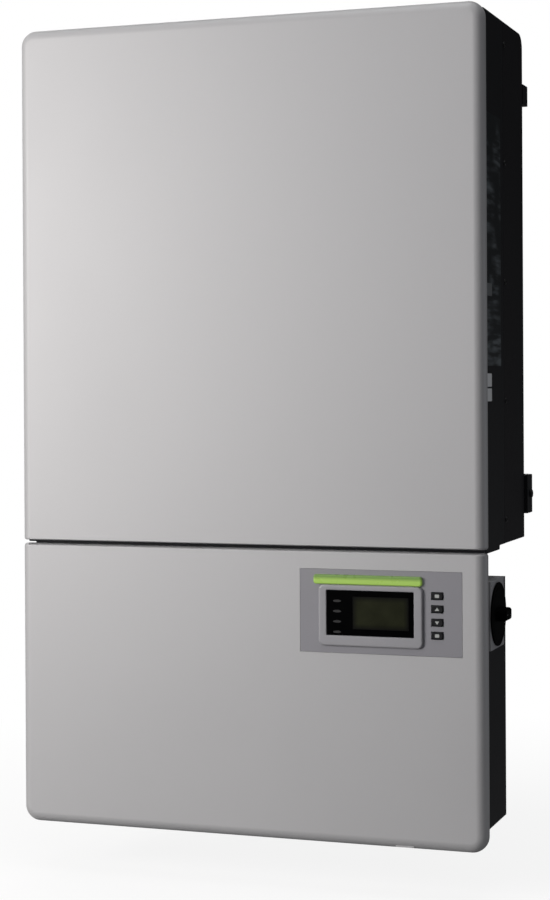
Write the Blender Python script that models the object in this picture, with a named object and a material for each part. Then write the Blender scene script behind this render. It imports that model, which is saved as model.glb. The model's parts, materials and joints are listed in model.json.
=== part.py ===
"""A wall-mounted string inverter: a power unit with a light cover above a shallower wiring box.

Sizes are in millimetres, and each mesh is scaled to metres as it is made. X runs to the right as seen
from the front, the wall is the plane y = 0 with the front at negative y, and z is measured up from the
lower edge of the front. The origin of the finished model is on the back face of the bracket's upper
rail, so every object is lowered by RAIL_HEIGHT.
"""

import math

import bmesh
import bpy
from mathutils import Vector

MM = 0.001
GAP = 0.3  # between pieces that touch
CLEAR = 5.0  # how far a cutter runs past the wall that it cuts

# Overall size of the front
HALF_WIDTH = 300.0
HEIGHT = 1000.0
DEPTH = 260.0
RAIL_HEIGHT = 918.0

# The light cover and the light door share one pressed-pan shape
PAN_DEPTH = 16.0
PAN_WALL = 2.5
CORNER_RADIUS = 20.0
EDGE_RADIUS = 13.0
SEAM_CORNER = 3.5
SEAM_ROLL = 2.2
SEAM_HEIGHT = 354.0
SEAM_GAP = 4.0
FRONT = -DEPTH
PAN_BACK = FRONT + PAN_DEPTH
DOOR_TOP = SEAM_HEIGHT - SEAM_GAP / 2
COVER_BOTTOM = SEAM_HEIGHT + SEAM_GAP / 2

# Main chassis, with the electronics in front of its back wall
CHASSIS_HALF = 297.0
CHASSIS_FRONT = PAN_BACK + GAP
CHASSIS_BOTTOM = 355.5
CHASSIS_TOP = 993.0
CHASSIS_WALL = 4.0
FLANGE_BOTTOM = 350.5
FLANGE_BACK = -171.0
FLANGE_NOTCH = (-287.0, 353.5)
RIM_FRONT = -250.0
RIM_HALF = 286.0
RIM_BOTTOM = 369.5
RIM_TOP = 983.0
RIM_WALL = 4.0
PARTITION = (-150.0, -145.0)

# Rear shroud, which makes the air duct around the heat sink
SHROUD_BACK = -32.0
SHROUD_WALL = 3.0
SHROUD_RADIUS = 18.0

# Heat sink, behind the partition
SINK_HALF = 230.0
SINK_HEIGHTS = (475.0, 935.0)
SINK_BASE = 8.0
SINK_FIN_BACK = -42.0
FIN_COUNT = 24
FIN_THICKNESS = 2.4

# Power modules, through windows in the chassis's back wall
MODULE_CENTRES = {"a": -145.0, "b": 0.0, "c": 145.0}
MODULE_HALF = 47.0
MODULE_HEIGHTS = (585.0, 665.0)
MODULE_DEPTH = 17.0
WINDOW_MARGIN = 2.0

# Boards, capacitors and chokes in front of the modules
POWER_BOARD = ((-215.0, 215.0), (500.0, 910.0))
POWER_BOARD_THICKNESS = 2.0
BANK = ((-206.0, 206.0), (745.0, 895.0))
CAPACITOR_PITCH = 56.0
CAPACITOR_HEIGHTS = (784.0, 856.0)
CAPACITOR_RADIUS = 17.5
CAPACITOR_FRONT = -218.0
CONTROL_BOARD = ((-185.0, 185.0), (530.0, 725.0))
CONTROL_DEPTHS = (-226.0, -224.4)
STANDOFF_RADIUS = 3.0
STANDOFF_INSET = 7.0
CHOKE_SPANS = {
    "boost_choke_left": (-215.0, -75.0), "output_choke": (-55.0, 55.0),
    "boost_choke_right": (75.0, 215.0),
}
CHOKE_HEIGHTS = (388.0, 466.0)
CHOKE_FRONT = -232.0
COIL_HALF = 25.0
COIL_HEIGHTS = (402.0, 452.0)
COIL_FRONT = -240.0

# Fans, under the heat sink
FAN_CENTRES = {"left": -130.0, "middle": 0.0, "right": 130.0}
FAN_DEPTH = -88.5
FAN_SIZE = 92.0
FAN_THICKNESS = 25.4
FAN_BORE = 43.0
FAN_HOLE = 44.0
FAN_HUB = 18.0
FAN_TIP = 40.5
BLADE_COUNT = 7
OUTLET_CENTRES = (-195.0, -65.0, 65.0, 195.0)
OUTLET_WIDTH = 110.0
OUTLET_DEPTHS = (-130.0, -66.0)

# Cable passage between the two compartments
NECK_HALF = 255.0
NECK_DEPTHS = (-239.0, -187.0)
NECK_SIDE_WALL = 15.0
NECK_WALL = 9.0
PASSAGE = (-200.0, 200.0)
PASSAGE_DEPTHS = (-226.0, -200.0)

# Wiring box
BOX_HALF = 296.0
BOX_HEIGHTS = (24.0, 315.5)
BOX_BACK = -139.0
BOX_WALL = 4.0
BOX_BACK_WALL = 3.0
BOX_SHOULDER = -240.0
BOX_INNER = (-278.0, 282.0)
BOX_RIM = (-284.0, 286.5)
REBATE_DEPTH = -226.0
CONDUIT_Y = -200.0
DC_CONDUIT_X = -150.0
AC_CONDUIT_X = 60.0
GLAND_X = 190.0

# What the wiring box holds, along its back wall
FUSES = ((-240.0, -60.0), (180.0, 262.0))
ARRESTERS = ((-36.0, 38.0), (180.0, 262.0))
TERMINALS = ((10.0, 170.0), (66.0, 116.0))
TERMINAL_COUNT = 5
GROUND_BAR = ((-240.0, -80.0), (66.0, 78.0))
COMMUNICATION = ((196.0, 276.0), (70.0, 205.0))
COMMUNICATION_DEPTHS = (-168.0, -166.4)

# Door hinge, in the rebate at the left of the wiring box
HINGE_X = -294.0
HINGE_Y = -235.0
HINGE_HEIGHTS = (45.0, 305.0)
KNUCKLE_RADIUS = 4.5
KNUCKLE_BORE = 2.0
PIN_RADIUS = 1.7
BOX_KNUCKLES = ((50.0, 64.0), (96.0, 110.0), (240.0, 254.0), (286.0, 300.0))
DOOR_KNUCKLES = ((65.0, 95.0), (255.0, 285.0))

# Captive screw in the underside of the door
SCREW_X = 200.0
SCREW_Y = -249.5
SCREW_HEAD_RADIUS = 4.2
SCREW_SHANK_RADIUS = 2.6
SCREW_SEAT = 5.7
SCREW_BOSS = ((-11.0, 11.0), (-256.5, -246.0), (1.5, 12.0))
KEEPER_SLOT = (3.2, -246.3)

# Display panel in the door
PANEL = ((72.0, 272.0), (230.0, 330.0))
PANEL_THICKNESS = 1.0
BEZEL = ((96.0, 225.0), (238.5, 312.0))
BEZEL_FRONT = -264.0
WINDOW = ((106.5, 214.0), (251.5, 305.0))
LIGHT_BAR = ((90.0, 224.0), (312.3, 323.8))
LIGHT_BAR_FRONT = -264.6
DISPLAY_CUT = ((104.0, 216.5), (249.0, 308.0))
LCD = ((107.5, 213.0), (253.0, 303.5))
KEY_X = 242.0
KEY_HEIGHTS = (301.5, 286.0, 270.2, 254.8)
KEY_SIZE = (14.6, 9.0)
KEY_CLEARANCE = 0.3
KEY_FRONT = -261.6
BOARD = ((80.0, 264.0), (238.0, 311.0))
BOARD_DEPTHS = (-249.6, -248.0)
THROUGH_DOOR = (-262.0, -250.0)

# Rotary disconnect at the right of the wiring box
SWITCH_Y = -204.0
SWITCH_Z = 276.5
SWITCH_PLATE = ((-239.0, -169.0), (236.0, 317.8))
SWITCH_FLANGE_END = 270.0
DISC_RADIUS = 38.0
DISC_FACES = (301.5, 303.5)
GRIP_END = 315.5
GRIP_WIDTH = 15.2
GRIP_LENGTH = 33.0
SHAFT_RADIUS = 5.7
SHAFT_HOLE = 6.3

# Wall bracket
RAIL_HALF = 285.0
SHEET = 3.0
LOWER_RAIL_HALF = 295.5
LOWER_RAIL = (385.5, 434.5)
UPPER_RAIL = (885.0, 952.0)
HANGER_HEIGHTS = (905.8, 931.3)
HANGER_END = 297.8
FOOT_FACE = 301.3
BOLT_RADIUS = 5.5
BOLT_X = (-240.0, -90.0, 90.0, 240.0)
SLOT_DEPTH = -16.0
SIDE_SCREW_Z = 410.0

LIGHT_GREY = (0.55, 0.56, 0.57)
BLACK = (0.012, 0.014, 0.015)
STEEL = (0.5, 0.5, 0.5)
ALUMINIUM = (0.62, 0.63, 0.64)
RUBBER = (0.02, 0.02, 0.02)
PANEL_GREY = (0.25, 0.25, 0.26)
PLATE_GREY = (0.4, 0.4, 0.42)
PLUG_GREY = (0.16, 0.16, 0.17)
BOARD_GREEN = (0.02, 0.14, 0.06)


def clear_scene():
    for existing in list(bpy.data.objects):
        bpy.data.objects.remove(existing, do_unlink=True)


def make_material(name, colour, roughness, metallic):
    material = bpy.data.materials.new(name)
    material.use_nodes = True
    shader = material.node_tree.nodes["Principled BSDF"]
    shader.inputs["Base Color"].default_value = (*colour, 1.0)
    shader.inputs["Roughness"].default_value = roughness
    shader.inputs["Metallic"].default_value = metallic
    return material


def body_empty(name, pivot, parent=None):
    """An empty on a moving body's joint axis, which the body's pieces are parented to."""
    empty = bpy.data.objects.new(name, None)
    bpy.context.scene.collection.objects.link(empty)
    place(empty, pivot, parent)
    return empty


def world_place(thing):
    """Where an object's origin is, in metres, from its own and its parents' locations."""
    at = thing.location.copy()
    return at + world_place(thing.parent) if thing.parent else at


def place(thing, pivot, parent):
    at = Vector((pivot[0], pivot[1], pivot[2] - RAIL_HEIGHT)) * MM
    if parent:
        thing.parent = parent
        at -= world_place(parent)
    thing.location = at


def finish_mesh(name, bm, pivot):
    """A mesh in metres about its pivot, faces out, with round surfaces shaded smooth."""
    bmesh.ops.recalc_face_normals(bm, faces=bm.faces)
    bmesh.ops.translate(bm, verts=bm.verts, vec=-Vector(pivot))
    bmesh.ops.scale(bm, verts=bm.verts, vec=(MM, MM, MM))
    mesh = bpy.data.meshes.new(name)
    bm.to_mesh(mesh)
    bm.free()
    mesh.shade_smooth()
    mesh.set_sharp_from_angle(angle=math.radians(35))
    return mesh


def piece(name, bm, parent, colour, roughness=0.5, metallic=0.0, pivot=(0, 0, 0)):
    thing = bpy.data.objects.new(name, finish_mesh(name, bm, pivot))
    thing.data.materials.append(make_material(name, colour, roughness, metallic))
    bpy.context.scene.collection.objects.link(thing)
    place(thing, pivot, parent)
    return thing


def shape_with(thing, bm, operation):
    """Cuts a mesh from a piece, or joins it to the piece, with a Boolean modifier."""
    label = f"{operation.lower()}_{len(thing.modifiers)}"
    tool = bpy.data.objects.new(f"{thing.name}_{label}", finish_mesh(label, bm, (0, 0, 0)))
    bpy.context.scene.collection.objects.link(tool)
    place(tool, (0, 0, 0), None)
    tool.hide_render = True
    tool.display_type = "WIRE"
    modifier = thing.modifiers.new(label, "BOOLEAN")
    modifier.operation = operation
    modifier.solver = "EXACT"
    modifier.object = tool


def cut(thing, *meshes):
    for bm in meshes:
        shape_with(thing, bm, "DIFFERENCE")


def join(thing, *meshes):
    for bm in meshes:
        shape_with(thing, bm, "UNION")


def loft(loops, ring=False):
    """Skins matching loops of points: capped at both ends, or closed on itself as a ring."""
    bm = bmesh.new()
    rows = [[bm.verts.new(point) for point in loop] for loop in loops]
    pairs = list(zip(rows, rows[1:]))
    if ring:
        pairs.append((rows[-1], rows[0]))
    else:
        bm.faces.new(rows[0])
        bm.faces.new(rows[-1])
    for first, second in pairs:
        for k in range(len(first)):
            after = (k + 1) % len(first)
            bm.faces.new((first[k], first[after], second[after], second[k]))
    return bm


AXES = {
    "X": lambda along, a, b: (along, a, b),
    "Y": lambda along, a, b: (a, along, b),
    "Z": lambda along, a, b: (a, b, along),
}


def prism(axis, outline, start, end):
    """An outline in the plane across an axis, carried from start to end along it."""
    at = AXES[axis]
    return loft([[at(level, a, b) for a, b in outline] for level in (start, end)])


def block(x, y, z):
    return prism("Z", rectangle(x, y), *z)


def blocks(*ranges):
    """Several separate boxes in one mesh."""
    return gather(block(*one) for one in ranges)


def gather(meshes):
    """Several separate closed shapes in one mesh."""
    whole = bmesh.new()
    for bm in meshes:
        part = bpy.data.meshes.new("part")
        bm.to_mesh(part)
        bm.free()
        whole.from_mesh(part)
        bpy.data.meshes.remove(part)
    return whole


def rectangle(a, b):
    return [(a[0], b[0]), (a[1], b[0]), (a[1], b[1]), (a[0], b[1])]


def circle(centre, radius, sides=24):
    turn = 2 * math.pi / sides
    return [
        (centre[0] + radius * math.cos(turn * k), centre[1] + radius * math.sin(turn * k))
        for k in range(sides)
    ]


def rod(axis, centre, radius, start, end, sides=24):
    return prism(axis, circle(centre, radius, sides), start, end)


def round_cornered(a, b, low_radius, high_radius, steps=6):
    """A rectangle with one corner radius at its low b end and another at its high b end."""
    corners = (
        (a[1] - high_radius, b[1] - high_radius, high_radius, 0),
        (a[0] + high_radius, b[1] - high_radius, high_radius, 90),
        (a[0] + low_radius, b[0] + low_radius, low_radius, 180),
        (a[1] - low_radius, b[0] + low_radius, low_radius, 270),
    )
    points = []
    for middle_a, middle_b, radius, start in corners:
        for k in range(steps + 1):
            angle = math.radians(start + 90 * k / steps)
            points.append(
                (middle_a + radius * math.cos(angle), middle_b + radius * math.sin(angle))
            )
    return points


def rounded(a, b, radius, inset=0.0, steps=6):
    """A rectangle with round corners, moved inwards by inset, always with the same point count."""
    turn = max(radius - inset, 1.0)
    return round_cornered(
        (a[0] + inset, a[1] - inset), (b[0] + inset, b[1] - inset), turn, turn, steps
    )


def pan_loop(x, z, seam_at_top, side_inset, seam_inset, y):
    """A pan's outline at one depth, with round corners away from the seam and tight ones at it."""
    wide = CORNER_RADIUS - side_inset
    tight = max(SEAM_CORNER - seam_inset, 1.0)
    if seam_at_top:
        heights, radii = (z[0] + side_inset, z[1] - seam_inset), (wide, tight)
    else:
        heights, radii = (z[0] + seam_inset, z[1] - side_inset), (tight, wide)
    outline = round_cornered((x[0] + side_inset, x[1] - side_inset), heights, *radii)
    return [(a, y, b) for a, b in outline]


def pan_row(wall, angle):
    """The two insets and the depth at one step of the rolled edge, outside or one wall inside."""
    roll = EDGE_RADIUS - wall
    bend = 1 - math.cos(angle)
    return wall + roll * bend, wall + SEAM_ROLL * bend, FRONT + wall + roll * (1 - math.sin(angle))


def pan(x, z, seam_at_top, roll_steps=4):
    """A shallow pressed pan, open at the back, with rolled edges and a nearly sharp seam edge."""
    quarter = [math.radians(90 * k / roll_steps) for k in range(roll_steps + 1)]
    rows = [pan_row(PAN_WALL, angle) for angle in reversed(quarter)]
    rows += [(PAN_WALL, PAN_WALL, PAN_BACK), (0.0, 0.0, PAN_BACK)]
    rows += [pan_row(0.0, angle) for angle in quarter]
    return loft([pan_loop(x, z, seam_at_top, *row) for row in rows])


def seal(outer_x, outer_z, wall, depths, radius=6.0):
    """A rectangular ring with round corners, such as a gasket."""
    front, back = depths
    loops = []
    for inset, y in ((0, front), (0, back), (wall, back), (wall, front)):
        outline = rounded(outer_x, outer_z, radius, inset, steps=3)
        loops.append([(a, y, b) for a, b in outline])
    return loft(loops, ring=True)


def comb(low, high, back, root, tip, count, gap):
    """The outline of a base with count teeth that stand towards tip, gap apart."""
    pitch = (high - low + gap) / count
    outline = [(low, back)]
    for k in range(count):
        start = low + k * pitch
        end = start + pitch - gap
        if k:
            outline.append((start, root))
        outline += [(start, tip), (end, tip)]
        if k < count - 1:
            outline.append((end, root))
    outline.append((high, back))
    return outline


def mirrored(points, side):
    """The same points for the right side, or for the left with x turned about."""
    return [(side * x, y) for x, y in points]


def side_range(side, low, high):
    return tuple(sorted((side * low, side * high)))


SIDES = {"left": -1, "right": 1}


# The wall bracket


def wall_bracket():
    bracket = body_empty("wall_bracket", (0, 0, RAIL_HEIGHT))
    trough_outline = [
        (0, UPPER_RAIL[0]),
        (0, UPPER_RAIL[1]),
        (-SHEET, UPPER_RAIL[1]),
        (-SHEET, 896.0),
        (-17.0, 896.0),
        (-17.0, 925.7),
        (-20.0, 925.7),
        (-20.0, 893.0),
        (-SHEET, 893.0),
        (-SHEET, UPPER_RAIL[0]),
    ]
    upper = piece(
        "bracket_upper_rail",
        prism("X", trough_outline, -RAIL_HALF, RAIL_HALF),
        bracket, STEEL, 0.35, 1.0,
    )
    cut(upper, gather(rod("Y", (x, 938.0), BOLT_RADIUS, -6, 3, 16) for x in BOLT_X))

    end, thick = LOWER_RAIL_HALF, SHEET
    tab_outline = [
        (-end, 0), (end, 0), (end, -26.0), (end - thick, -26.0), (end - thick, -thick),
        (-end + thick, -thick), (-end + thick, -26.0), (-end, -26.0),
    ]
    lower = piece(
        "bracket_lower_rail", prism("Z", tab_outline, *LOWER_RAIL), bracket, STEEL, 0.35, 1.0
    )
    cut(
        lower,
        gather(rod("Y", (x, 398.0), BOLT_RADIUS, -6, 3, 16) for x in BOLT_X),
        blocks(*(
            (side_range(side, 285, 300), (SLOT_DEPTH - 3.3, SLOT_DEPTH + 3.3), (406, 440))
            for side in SIDES.values()
        )),
    )
    for word, side in SIDES.items():
        upright_outline = mirrored(
            [(150, 0), (186, 0), (186, -3), (153, -3), (153, -14), (150, -14)], side
        )
        piece(
            f"bracket_upright_{word}",
            prism("Z", upright_outline, LOWER_RAIL[1] + GAP, UPPER_RAIL[0] - GAP),
            bracket, STEEL, 0.35, 1.0,
        )
    return bracket


# The power unit


def chassis(unit):
    side_outline = [
        (CHASSIS_FRONT, FLANGE_BOTTOM),
        (FLANGE_BACK, FLANGE_BOTTOM),
        (FLANGE_BACK, CHASSIS_BOTTOM),
        (PARTITION[1], CHASSIS_BOTTOM),
        (PARTITION[1], CHASSIS_TOP),
        (CHASSIS_FRONT, CHASSIS_TOP),
    ]
    body = piece(
        "main_chassis", prism("X", side_outline, -CHASSIS_HALF, CHASSIS_HALF), unit, BLACK, 0.6
    )
    join(body, block((-RIM_HALF, RIM_HALF), (RIM_FRONT, -241), (RIM_BOTTOM, RIM_TOP)))

    inner = CHASSIS_HALF - CHASSIS_WALL
    heights = (CHASSIS_BOTTOM + CHASSIS_WALL, CHASSIS_TOP - CHASSIS_WALL)
    mouth = RIM_HALF - RIM_WALL
    window = MODULE_HALF + WINDOW_MARGIN
    window_heights = (MODULE_HEIGHTS[0] - WINDOW_MARGIN, MODULE_HEIGHTS[1] + WINDOW_MARGIN)
    cut(
        body,
        block((-inner, inner), (-240, PARTITION[0]), heights),
        block((-mouth, mouth), (RIM_FRONT - CLEAR, -239), (RIM_BOTTOM + RIM_WALL, RIM_TOP - RIM_WALL)),
        blocks(*(
            ((x - window, x + window), (PARTITION[0] - 2, PARTITION[1] + 2), window_heights)
            for x in MODULE_CENTRES.values()
        )),
        block(PASSAGE, PASSAGE_DEPTHS, (FLANGE_BOTTOM - CLEAR, heights[0] + CLEAR)),
        block(
            (-CHASSIS_HALF - CLEAR, FLANGE_NOTCH[0]), (CHASSIS_FRONT - CLEAR, FLANGE_BACK + CLEAR),
            (FLANGE_BOTTOM - CLEAR, FLANGE_NOTCH[1]),
        ),
    )


def shroud_outline(inset, front):
    """The side view of the shroud, with a round corner at the top of its back."""
    radius = SHROUD_RADIUS - inset
    middle_y = SHROUD_BACK - SHROUD_RADIUS
    middle_z = CHASSIS_TOP - SHROUD_RADIUS
    outline = [(front, CHASSIS_BOTTOM + inset), (SHROUD_BACK - inset, CHASSIS_BOTTOM + inset)]
    for k in range(7):
        angle = math.radians(90 * k / 6)
        outline.append((middle_y + radius * math.cos(angle), middle_z + radius * math.sin(angle)))
    outline.append((front, CHASSIS_TOP - inset))
    return outline


def rear_shroud(unit):
    front = PARTITION[1] + GAP
    shroud = piece(
        "rear_shroud",
        prism("X", shroud_outline(0.0, front), -CHASSIS_HALF, CHASSIS_HALF),
        unit, BLACK, 0.6,
    )
    inner = CHASSIS_HALF - SHROUD_WALL
    around_top = (CHASSIS_TOP - SHROUD_WALL - CLEAR, CHASSIS_TOP + CLEAR)
    around_floor = (CHASSIS_BOTTOM - CLEAR, CHASSIS_BOTTOM + SHROUD_WALL + CLEAR)
    cut(
        shroud,
        prism("X", shroud_outline(SHROUD_WALL, front - CLEAR), -inner, inner),
        blocks(*(
            ((x - OUTLET_WIDTH / 2, x + OUTLET_WIDTH / 2), OUTLET_DEPTHS, around_top)
            for x in OUTLET_CENTRES
        )),
        gather(rod("Z", (x, FAN_DEPTH), FAN_HOLE, *around_floor) for x in FAN_CENTRES.values()),
    )


def main_cover(unit):
    piece(
        "main_cover",
        pan((-HALF_WIDTH, HALF_WIDTH), (COVER_BOTTOM, HEIGHT), seam_at_top=False),
        unit, LIGHT_GREY, 0.4,
    )
    piece(
        "main_gasket",
        seal(
            (-RIM_HALF, RIM_HALF), (RIM_BOTTOM, RIM_TOP), RIM_WALL,
            (FRONT + PAN_WALL + GAP, RIM_FRONT - GAP),
        ),
        unit, RUBBER, 0.8,
    )


def heat_sink(unit):
    base_front = PARTITION[1] + GAP
    outline = comb(
        -SINK_HALF, SINK_HALF, base_front, base_front + SINK_BASE, SINK_FIN_BACK,
        FIN_COUNT, (2 * SINK_HALF - FIN_COUNT * FIN_THICKNESS) / (FIN_COUNT - 1),
    )
    piece("heat_sink", prism("Z", outline, *SINK_HEIGHTS), unit, ALUMINIUM, 0.4, 1.0)


def hangers_and_feet(unit):
    """The upper hangers hook into the bracket's trough; the lower feet take a screw at each side."""
    for word, side in SIDES.items():
        low, high = HANGER_HEIGHTS
        hook_outline = [
            (-31.7, 890.0), (-31.7, high), (-5.0, high), (-5.0, low),
            (-11.0, low), (-11.0, 926.0), (-28.7, 926.0), (-28.7, 890.0),
        ]
        hanger = piece(
            f"upper_hanger_{word}",
            prism("X", hook_outline, *side_range(side, 196.0, 294.0)),
            unit, BLACK, 0.5,
        )
        join(hanger, block(side_range(side, 293.0, HANGER_END), (-31.7, -5.0), HANGER_HEIGHTS))

        foot_outline = mirrored(
            [(262, -31.7), (FOOT_FACE, -31.7), (FOOT_FACE, -3.3), (296, -3.3), (296, -28.7),
             (262, -28.7)],
            side,
        )
        foot = piece(f"lower_foot_{word}", prism("Z", foot_outline, *LOWER_RAIL), unit, BLACK, 0.5)
        hole_at = (SLOT_DEPTH, SIDE_SCREW_Z)
        cut(foot, rod("X", hole_at, 3.0, *side_range(side, 294, FOOT_FACE + 2), 12))

        screw = piece(
            f"security_screw_{word}",
            rod("X", hole_at, 5.0, *side_range(side, FOOT_FACE + GAP, FOOT_FACE + 3), 12),
            unit, BLACK, 0.4,
        )
        join(screw, rod("X", hole_at, 2.6, *side_range(side, 288.0, FOOT_FACE + 1), 12))


def fan_blade(turn):
    """One pitched blade, from inside the hub to the tip."""
    loops = []
    for reach in (FAN_HUB - 3.0, FAN_TIP):
        lean = 11.0 * reach / FAN_TIP
        section = [(-lean, 8.0), (-lean, 9.6), (lean, 22.0), (lean, 20.4)]
        loop = []
        for across, level in section:
            angle = turn + across / reach
            loop.append((reach * math.cos(angle), reach * math.sin(angle), level))
        loops.append(loop)
    return loft(loops)


def cooling(unit):
    base = CHASSIS_BOTTOM + SHROUD_WALL + GAP
    half = FAN_SIZE / 2
    for word, x in FAN_CENTRES.items():
        centre = (x, FAN_DEPTH)
        housing = piece(
            f"fan_housing_{word}",
            block((x - half, x + half), (FAN_DEPTH - half, FAN_DEPTH + half),
                  (base, base + FAN_THICKNESS)),
            unit, BLACK, 0.5,
        )
        cut(housing, rod("Z", centre, FAN_BORE, base - 2, base + FAN_THICKNESS + 2, 32))
        join(
            housing,
            block((x - half + 1, x + half - 1), (FAN_DEPTH - 2.5, FAN_DEPTH + 2.5),
                  (base, base + 3)),
            block((x - 2.5, x + 2.5), (FAN_DEPTH - half + 1, FAN_DEPTH + half - 1),
                  (base + 0.2, base + 3.2)),
            rod("Z", centre, FAN_HUB, base + 0.1, base + 5),
        )
        spin = body_empty(f"fan_{word}", (x, FAN_DEPTH, base), unit)
        rotor = piece(
            f"fan_rotor_{word}",
            rod("Z", centre, FAN_HUB, base + 5.6, base + 23.6),
            spin, BLACK, 0.4, pivot=(x, FAN_DEPTH, base),
        )
        blades = gather(fan_blade(2 * math.pi * k / BLADE_COUNT) for k in range(BLADE_COUNT))
        bmesh.ops.triangulate(blades, faces=blades.faces)
        bmesh.ops.translate(blades, verts=blades.verts, vec=(x, FAN_DEPTH, base))
        join(rotor, blades)

    guard = piece(
        "fan_guard",
        block((-185, 185), (-137, -40), (CHASSIS_BOTTOM - 1.8, CHASSIS_BOTTOM - GAP)),
        unit, STEEL, 0.4, 1.0,
    )
    slot_rows = [-33, -22, -11, 0, 11, 22, 33]
    slots = []
    for x in FAN_CENTRES.values():
        for row in slot_rows:
            reach = math.sqrt((FAN_HOLE - 2) ** 2 - row ** 2) - 3
            slots.append((
                (x - reach, x + reach),
                (FAN_DEPTH + row - 3.5, FAN_DEPTH + row + 3.5),
                (CHASSIS_BOTTOM - CLEAR, CHASSIS_BOTTOM + CLEAR),
            ))
    cut(guard, blocks(*slots))


def standoffs(board, front, back):
    """The four posts that carry a board, one at each corner."""
    (left, right), (low, high) = board
    return gather(
        rod("Y", (x, z), STANDOFF_RADIUS, front, back, 8)
        for x in (left + STANDOFF_INSET, right - STANDOFF_INSET)
        for z in (low + STANDOFF_INSET, high - STANDOFF_INSET)
    )


def power_electronics(unit):
    board_back = PARTITION[1] - MODULE_DEPTH - GAP
    board_front = board_back - POWER_BOARD_THICKNESS
    for letter, x in MODULE_CENTRES.items():
        piece(
            f"power_module_{letter}",
            block((x - MODULE_HALF, x + MODULE_HALF),
                  (PARTITION[1] - MODULE_DEPTH, PARTITION[1]), MODULE_HEIGHTS),
            unit, (0.03, 0.03, 0.035), 0.4,
        )
    piece(
        "power_board", block(POWER_BOARD[0], (board_front, board_back), POWER_BOARD[1]),
        unit, BOARD_GREEN, 0.5,
    )
    bus_back = board_front - GAP
    bank = piece(
        "link_capacitor_bank",
        block(BANK[0], (bus_back - 3, bus_back), BANK[1]),
        unit, (0.5, 0.3, 0.1), 0.3, 1.0,
    )
    join(bank, gather(
        rod("Y", (CAPACITOR_PITCH * place, z), CAPACITOR_RADIUS, CAPACITOR_FRONT, bus_back - 1.5, 16)
        for place in range(-3, 4)
        for z in CAPACITOR_HEIGHTS
    ))
    control = piece(
        "control_board", block(CONTROL_BOARD[0], CONTROL_DEPTHS, CONTROL_BOARD[1]),
        unit, BOARD_GREEN, 0.5,
    )
    processor = ((-120, -60), (-234, -225), (600, 660))
    connector = ((20, 120), (-238, -225), (560, 580))
    join(control, standoffs(CONTROL_BOARD, -225, bus_back), blocks(processor, connector))
    for name, x in CHOKE_SPANS.items():
        core = block(x, (CHOKE_FRONT, PARTITION[0] - GAP), CHOKE_HEIGHTS)
        choke = piece(name, core, unit, ALUMINIUM, 0.5)
        middle = (x[0] + x[1]) / 2
        coil = ((middle - COIL_HALF, middle + COIL_HALF), (COIL_FRONT, CHOKE_FRONT + 1), COIL_HEIGHTS)
        join(choke, block(*coil))


# The wiring box


def bulkhead_neck(unit):
    low, high = BOX_HEIGHTS[1] + GAP, FLANGE_BOTTOM - GAP
    neck = piece(
        "bulkhead_neck", block((-NECK_HALF, NECK_HALF), NECK_DEPTHS, (low, high)), unit, BLACK, 0.6
    )
    inner = NECK_HALF - NECK_SIDE_WALL
    front, back = NECK_DEPTHS
    cut(neck, block((-inner, inner), (front + NECK_WALL, back - NECK_WALL), (low - CLEAR, high + CLEAR)))


def wiring_box(unit):
    outline = [
        (-BOX_HALF, BOX_BACK), (-BOX_HALF, REBATE_DEPTH), (BOX_RIM[0], REBATE_DEPTH),
        (BOX_RIM[0], RIM_FRONT), (BOX_RIM[1], RIM_FRONT), (BOX_RIM[1], BOX_SHOULDER),
        (BOX_HALF, BOX_SHOULDER), (BOX_HALF, BOX_BACK),
    ]
    box = piece("wiring_box", prism("Z", outline, *BOX_HEIGHTS), unit, BLACK, 0.6)
    keeper_x = (SCREW_X - 12, SCREW_X + 12)
    join(box, block(keeper_x, (-256, -244), (14, 20)), block(keeper_x, (-248.5, -244.3), (15, 26)))
    low, high = BOX_HEIGHTS
    slot_half, slot_end = KEEPER_SLOT
    cut(
        box,
        block(BOX_INNER, (RIM_FRONT - CLEAR, BOX_BACK - BOX_BACK_WALL), (low + BOX_WALL, high - BOX_WALL)),
        block(PASSAGE, PASSAGE_DEPTHS, (high - BOX_WALL - CLEAR, high + CLEAR)),
        block((SCREW_X - slot_half, SCREW_X + slot_half), (-260, slot_end), (10, low - 0.1)),
        rod("X", (SWITCH_Y, SWITCH_Z), SHAFT_HOLE, 280, 300, 16),
        gather(
            rod("Z", (x, CONDUIT_Y), radius, low - 4, low + 8)
            for x, radius in ((DC_CONDUIT_X, 25.5), (AC_CONDUIT_X, 31.0), (GLAND_X, 12.5))
        ),
    )
    piece(
        "wiring_gasket",
        seal(BOX_RIM, BOX_HEIGHTS, BOX_WALL, (FRONT + PAN_WALL + GAP, RIM_FRONT - GAP), 4.5),
        unit, RUBBER, 0.8,
    )


def conduit_plugs(unit):
    """Blanking plugs in the two conduit holes, and a cable gland with its own plug."""
    floor = BOX_HEIGHTS[0]
    sizes = {
        "dc_conduit_plug": (DC_CONDUIT_X, 25.2, 31.0, 8.0),
        "ac_conduit_plug": (AC_CONDUIT_X, 30.7, 37.0, 8.0),
        "signal_gland": (GLAND_X, 12.2, 16.0, 18.0),
    }
    for name, (x, thread, flange, drop) in sizes.items():
        centre = (x, CONDUIT_Y)
        plug = piece(
            name, rod("Z", centre, flange, floor - drop, floor - GAP, 24), unit, PLUG_GREY, 0.5
        )
        join(
            plug,
            rod("Z", centre, thread, floor - 1.5, floor + 10, 24),
            rod("Z", centre, flange - 2, floor + BOX_WALL + GAP, floor + BOX_WALL + 5, 6),
        )


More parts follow.
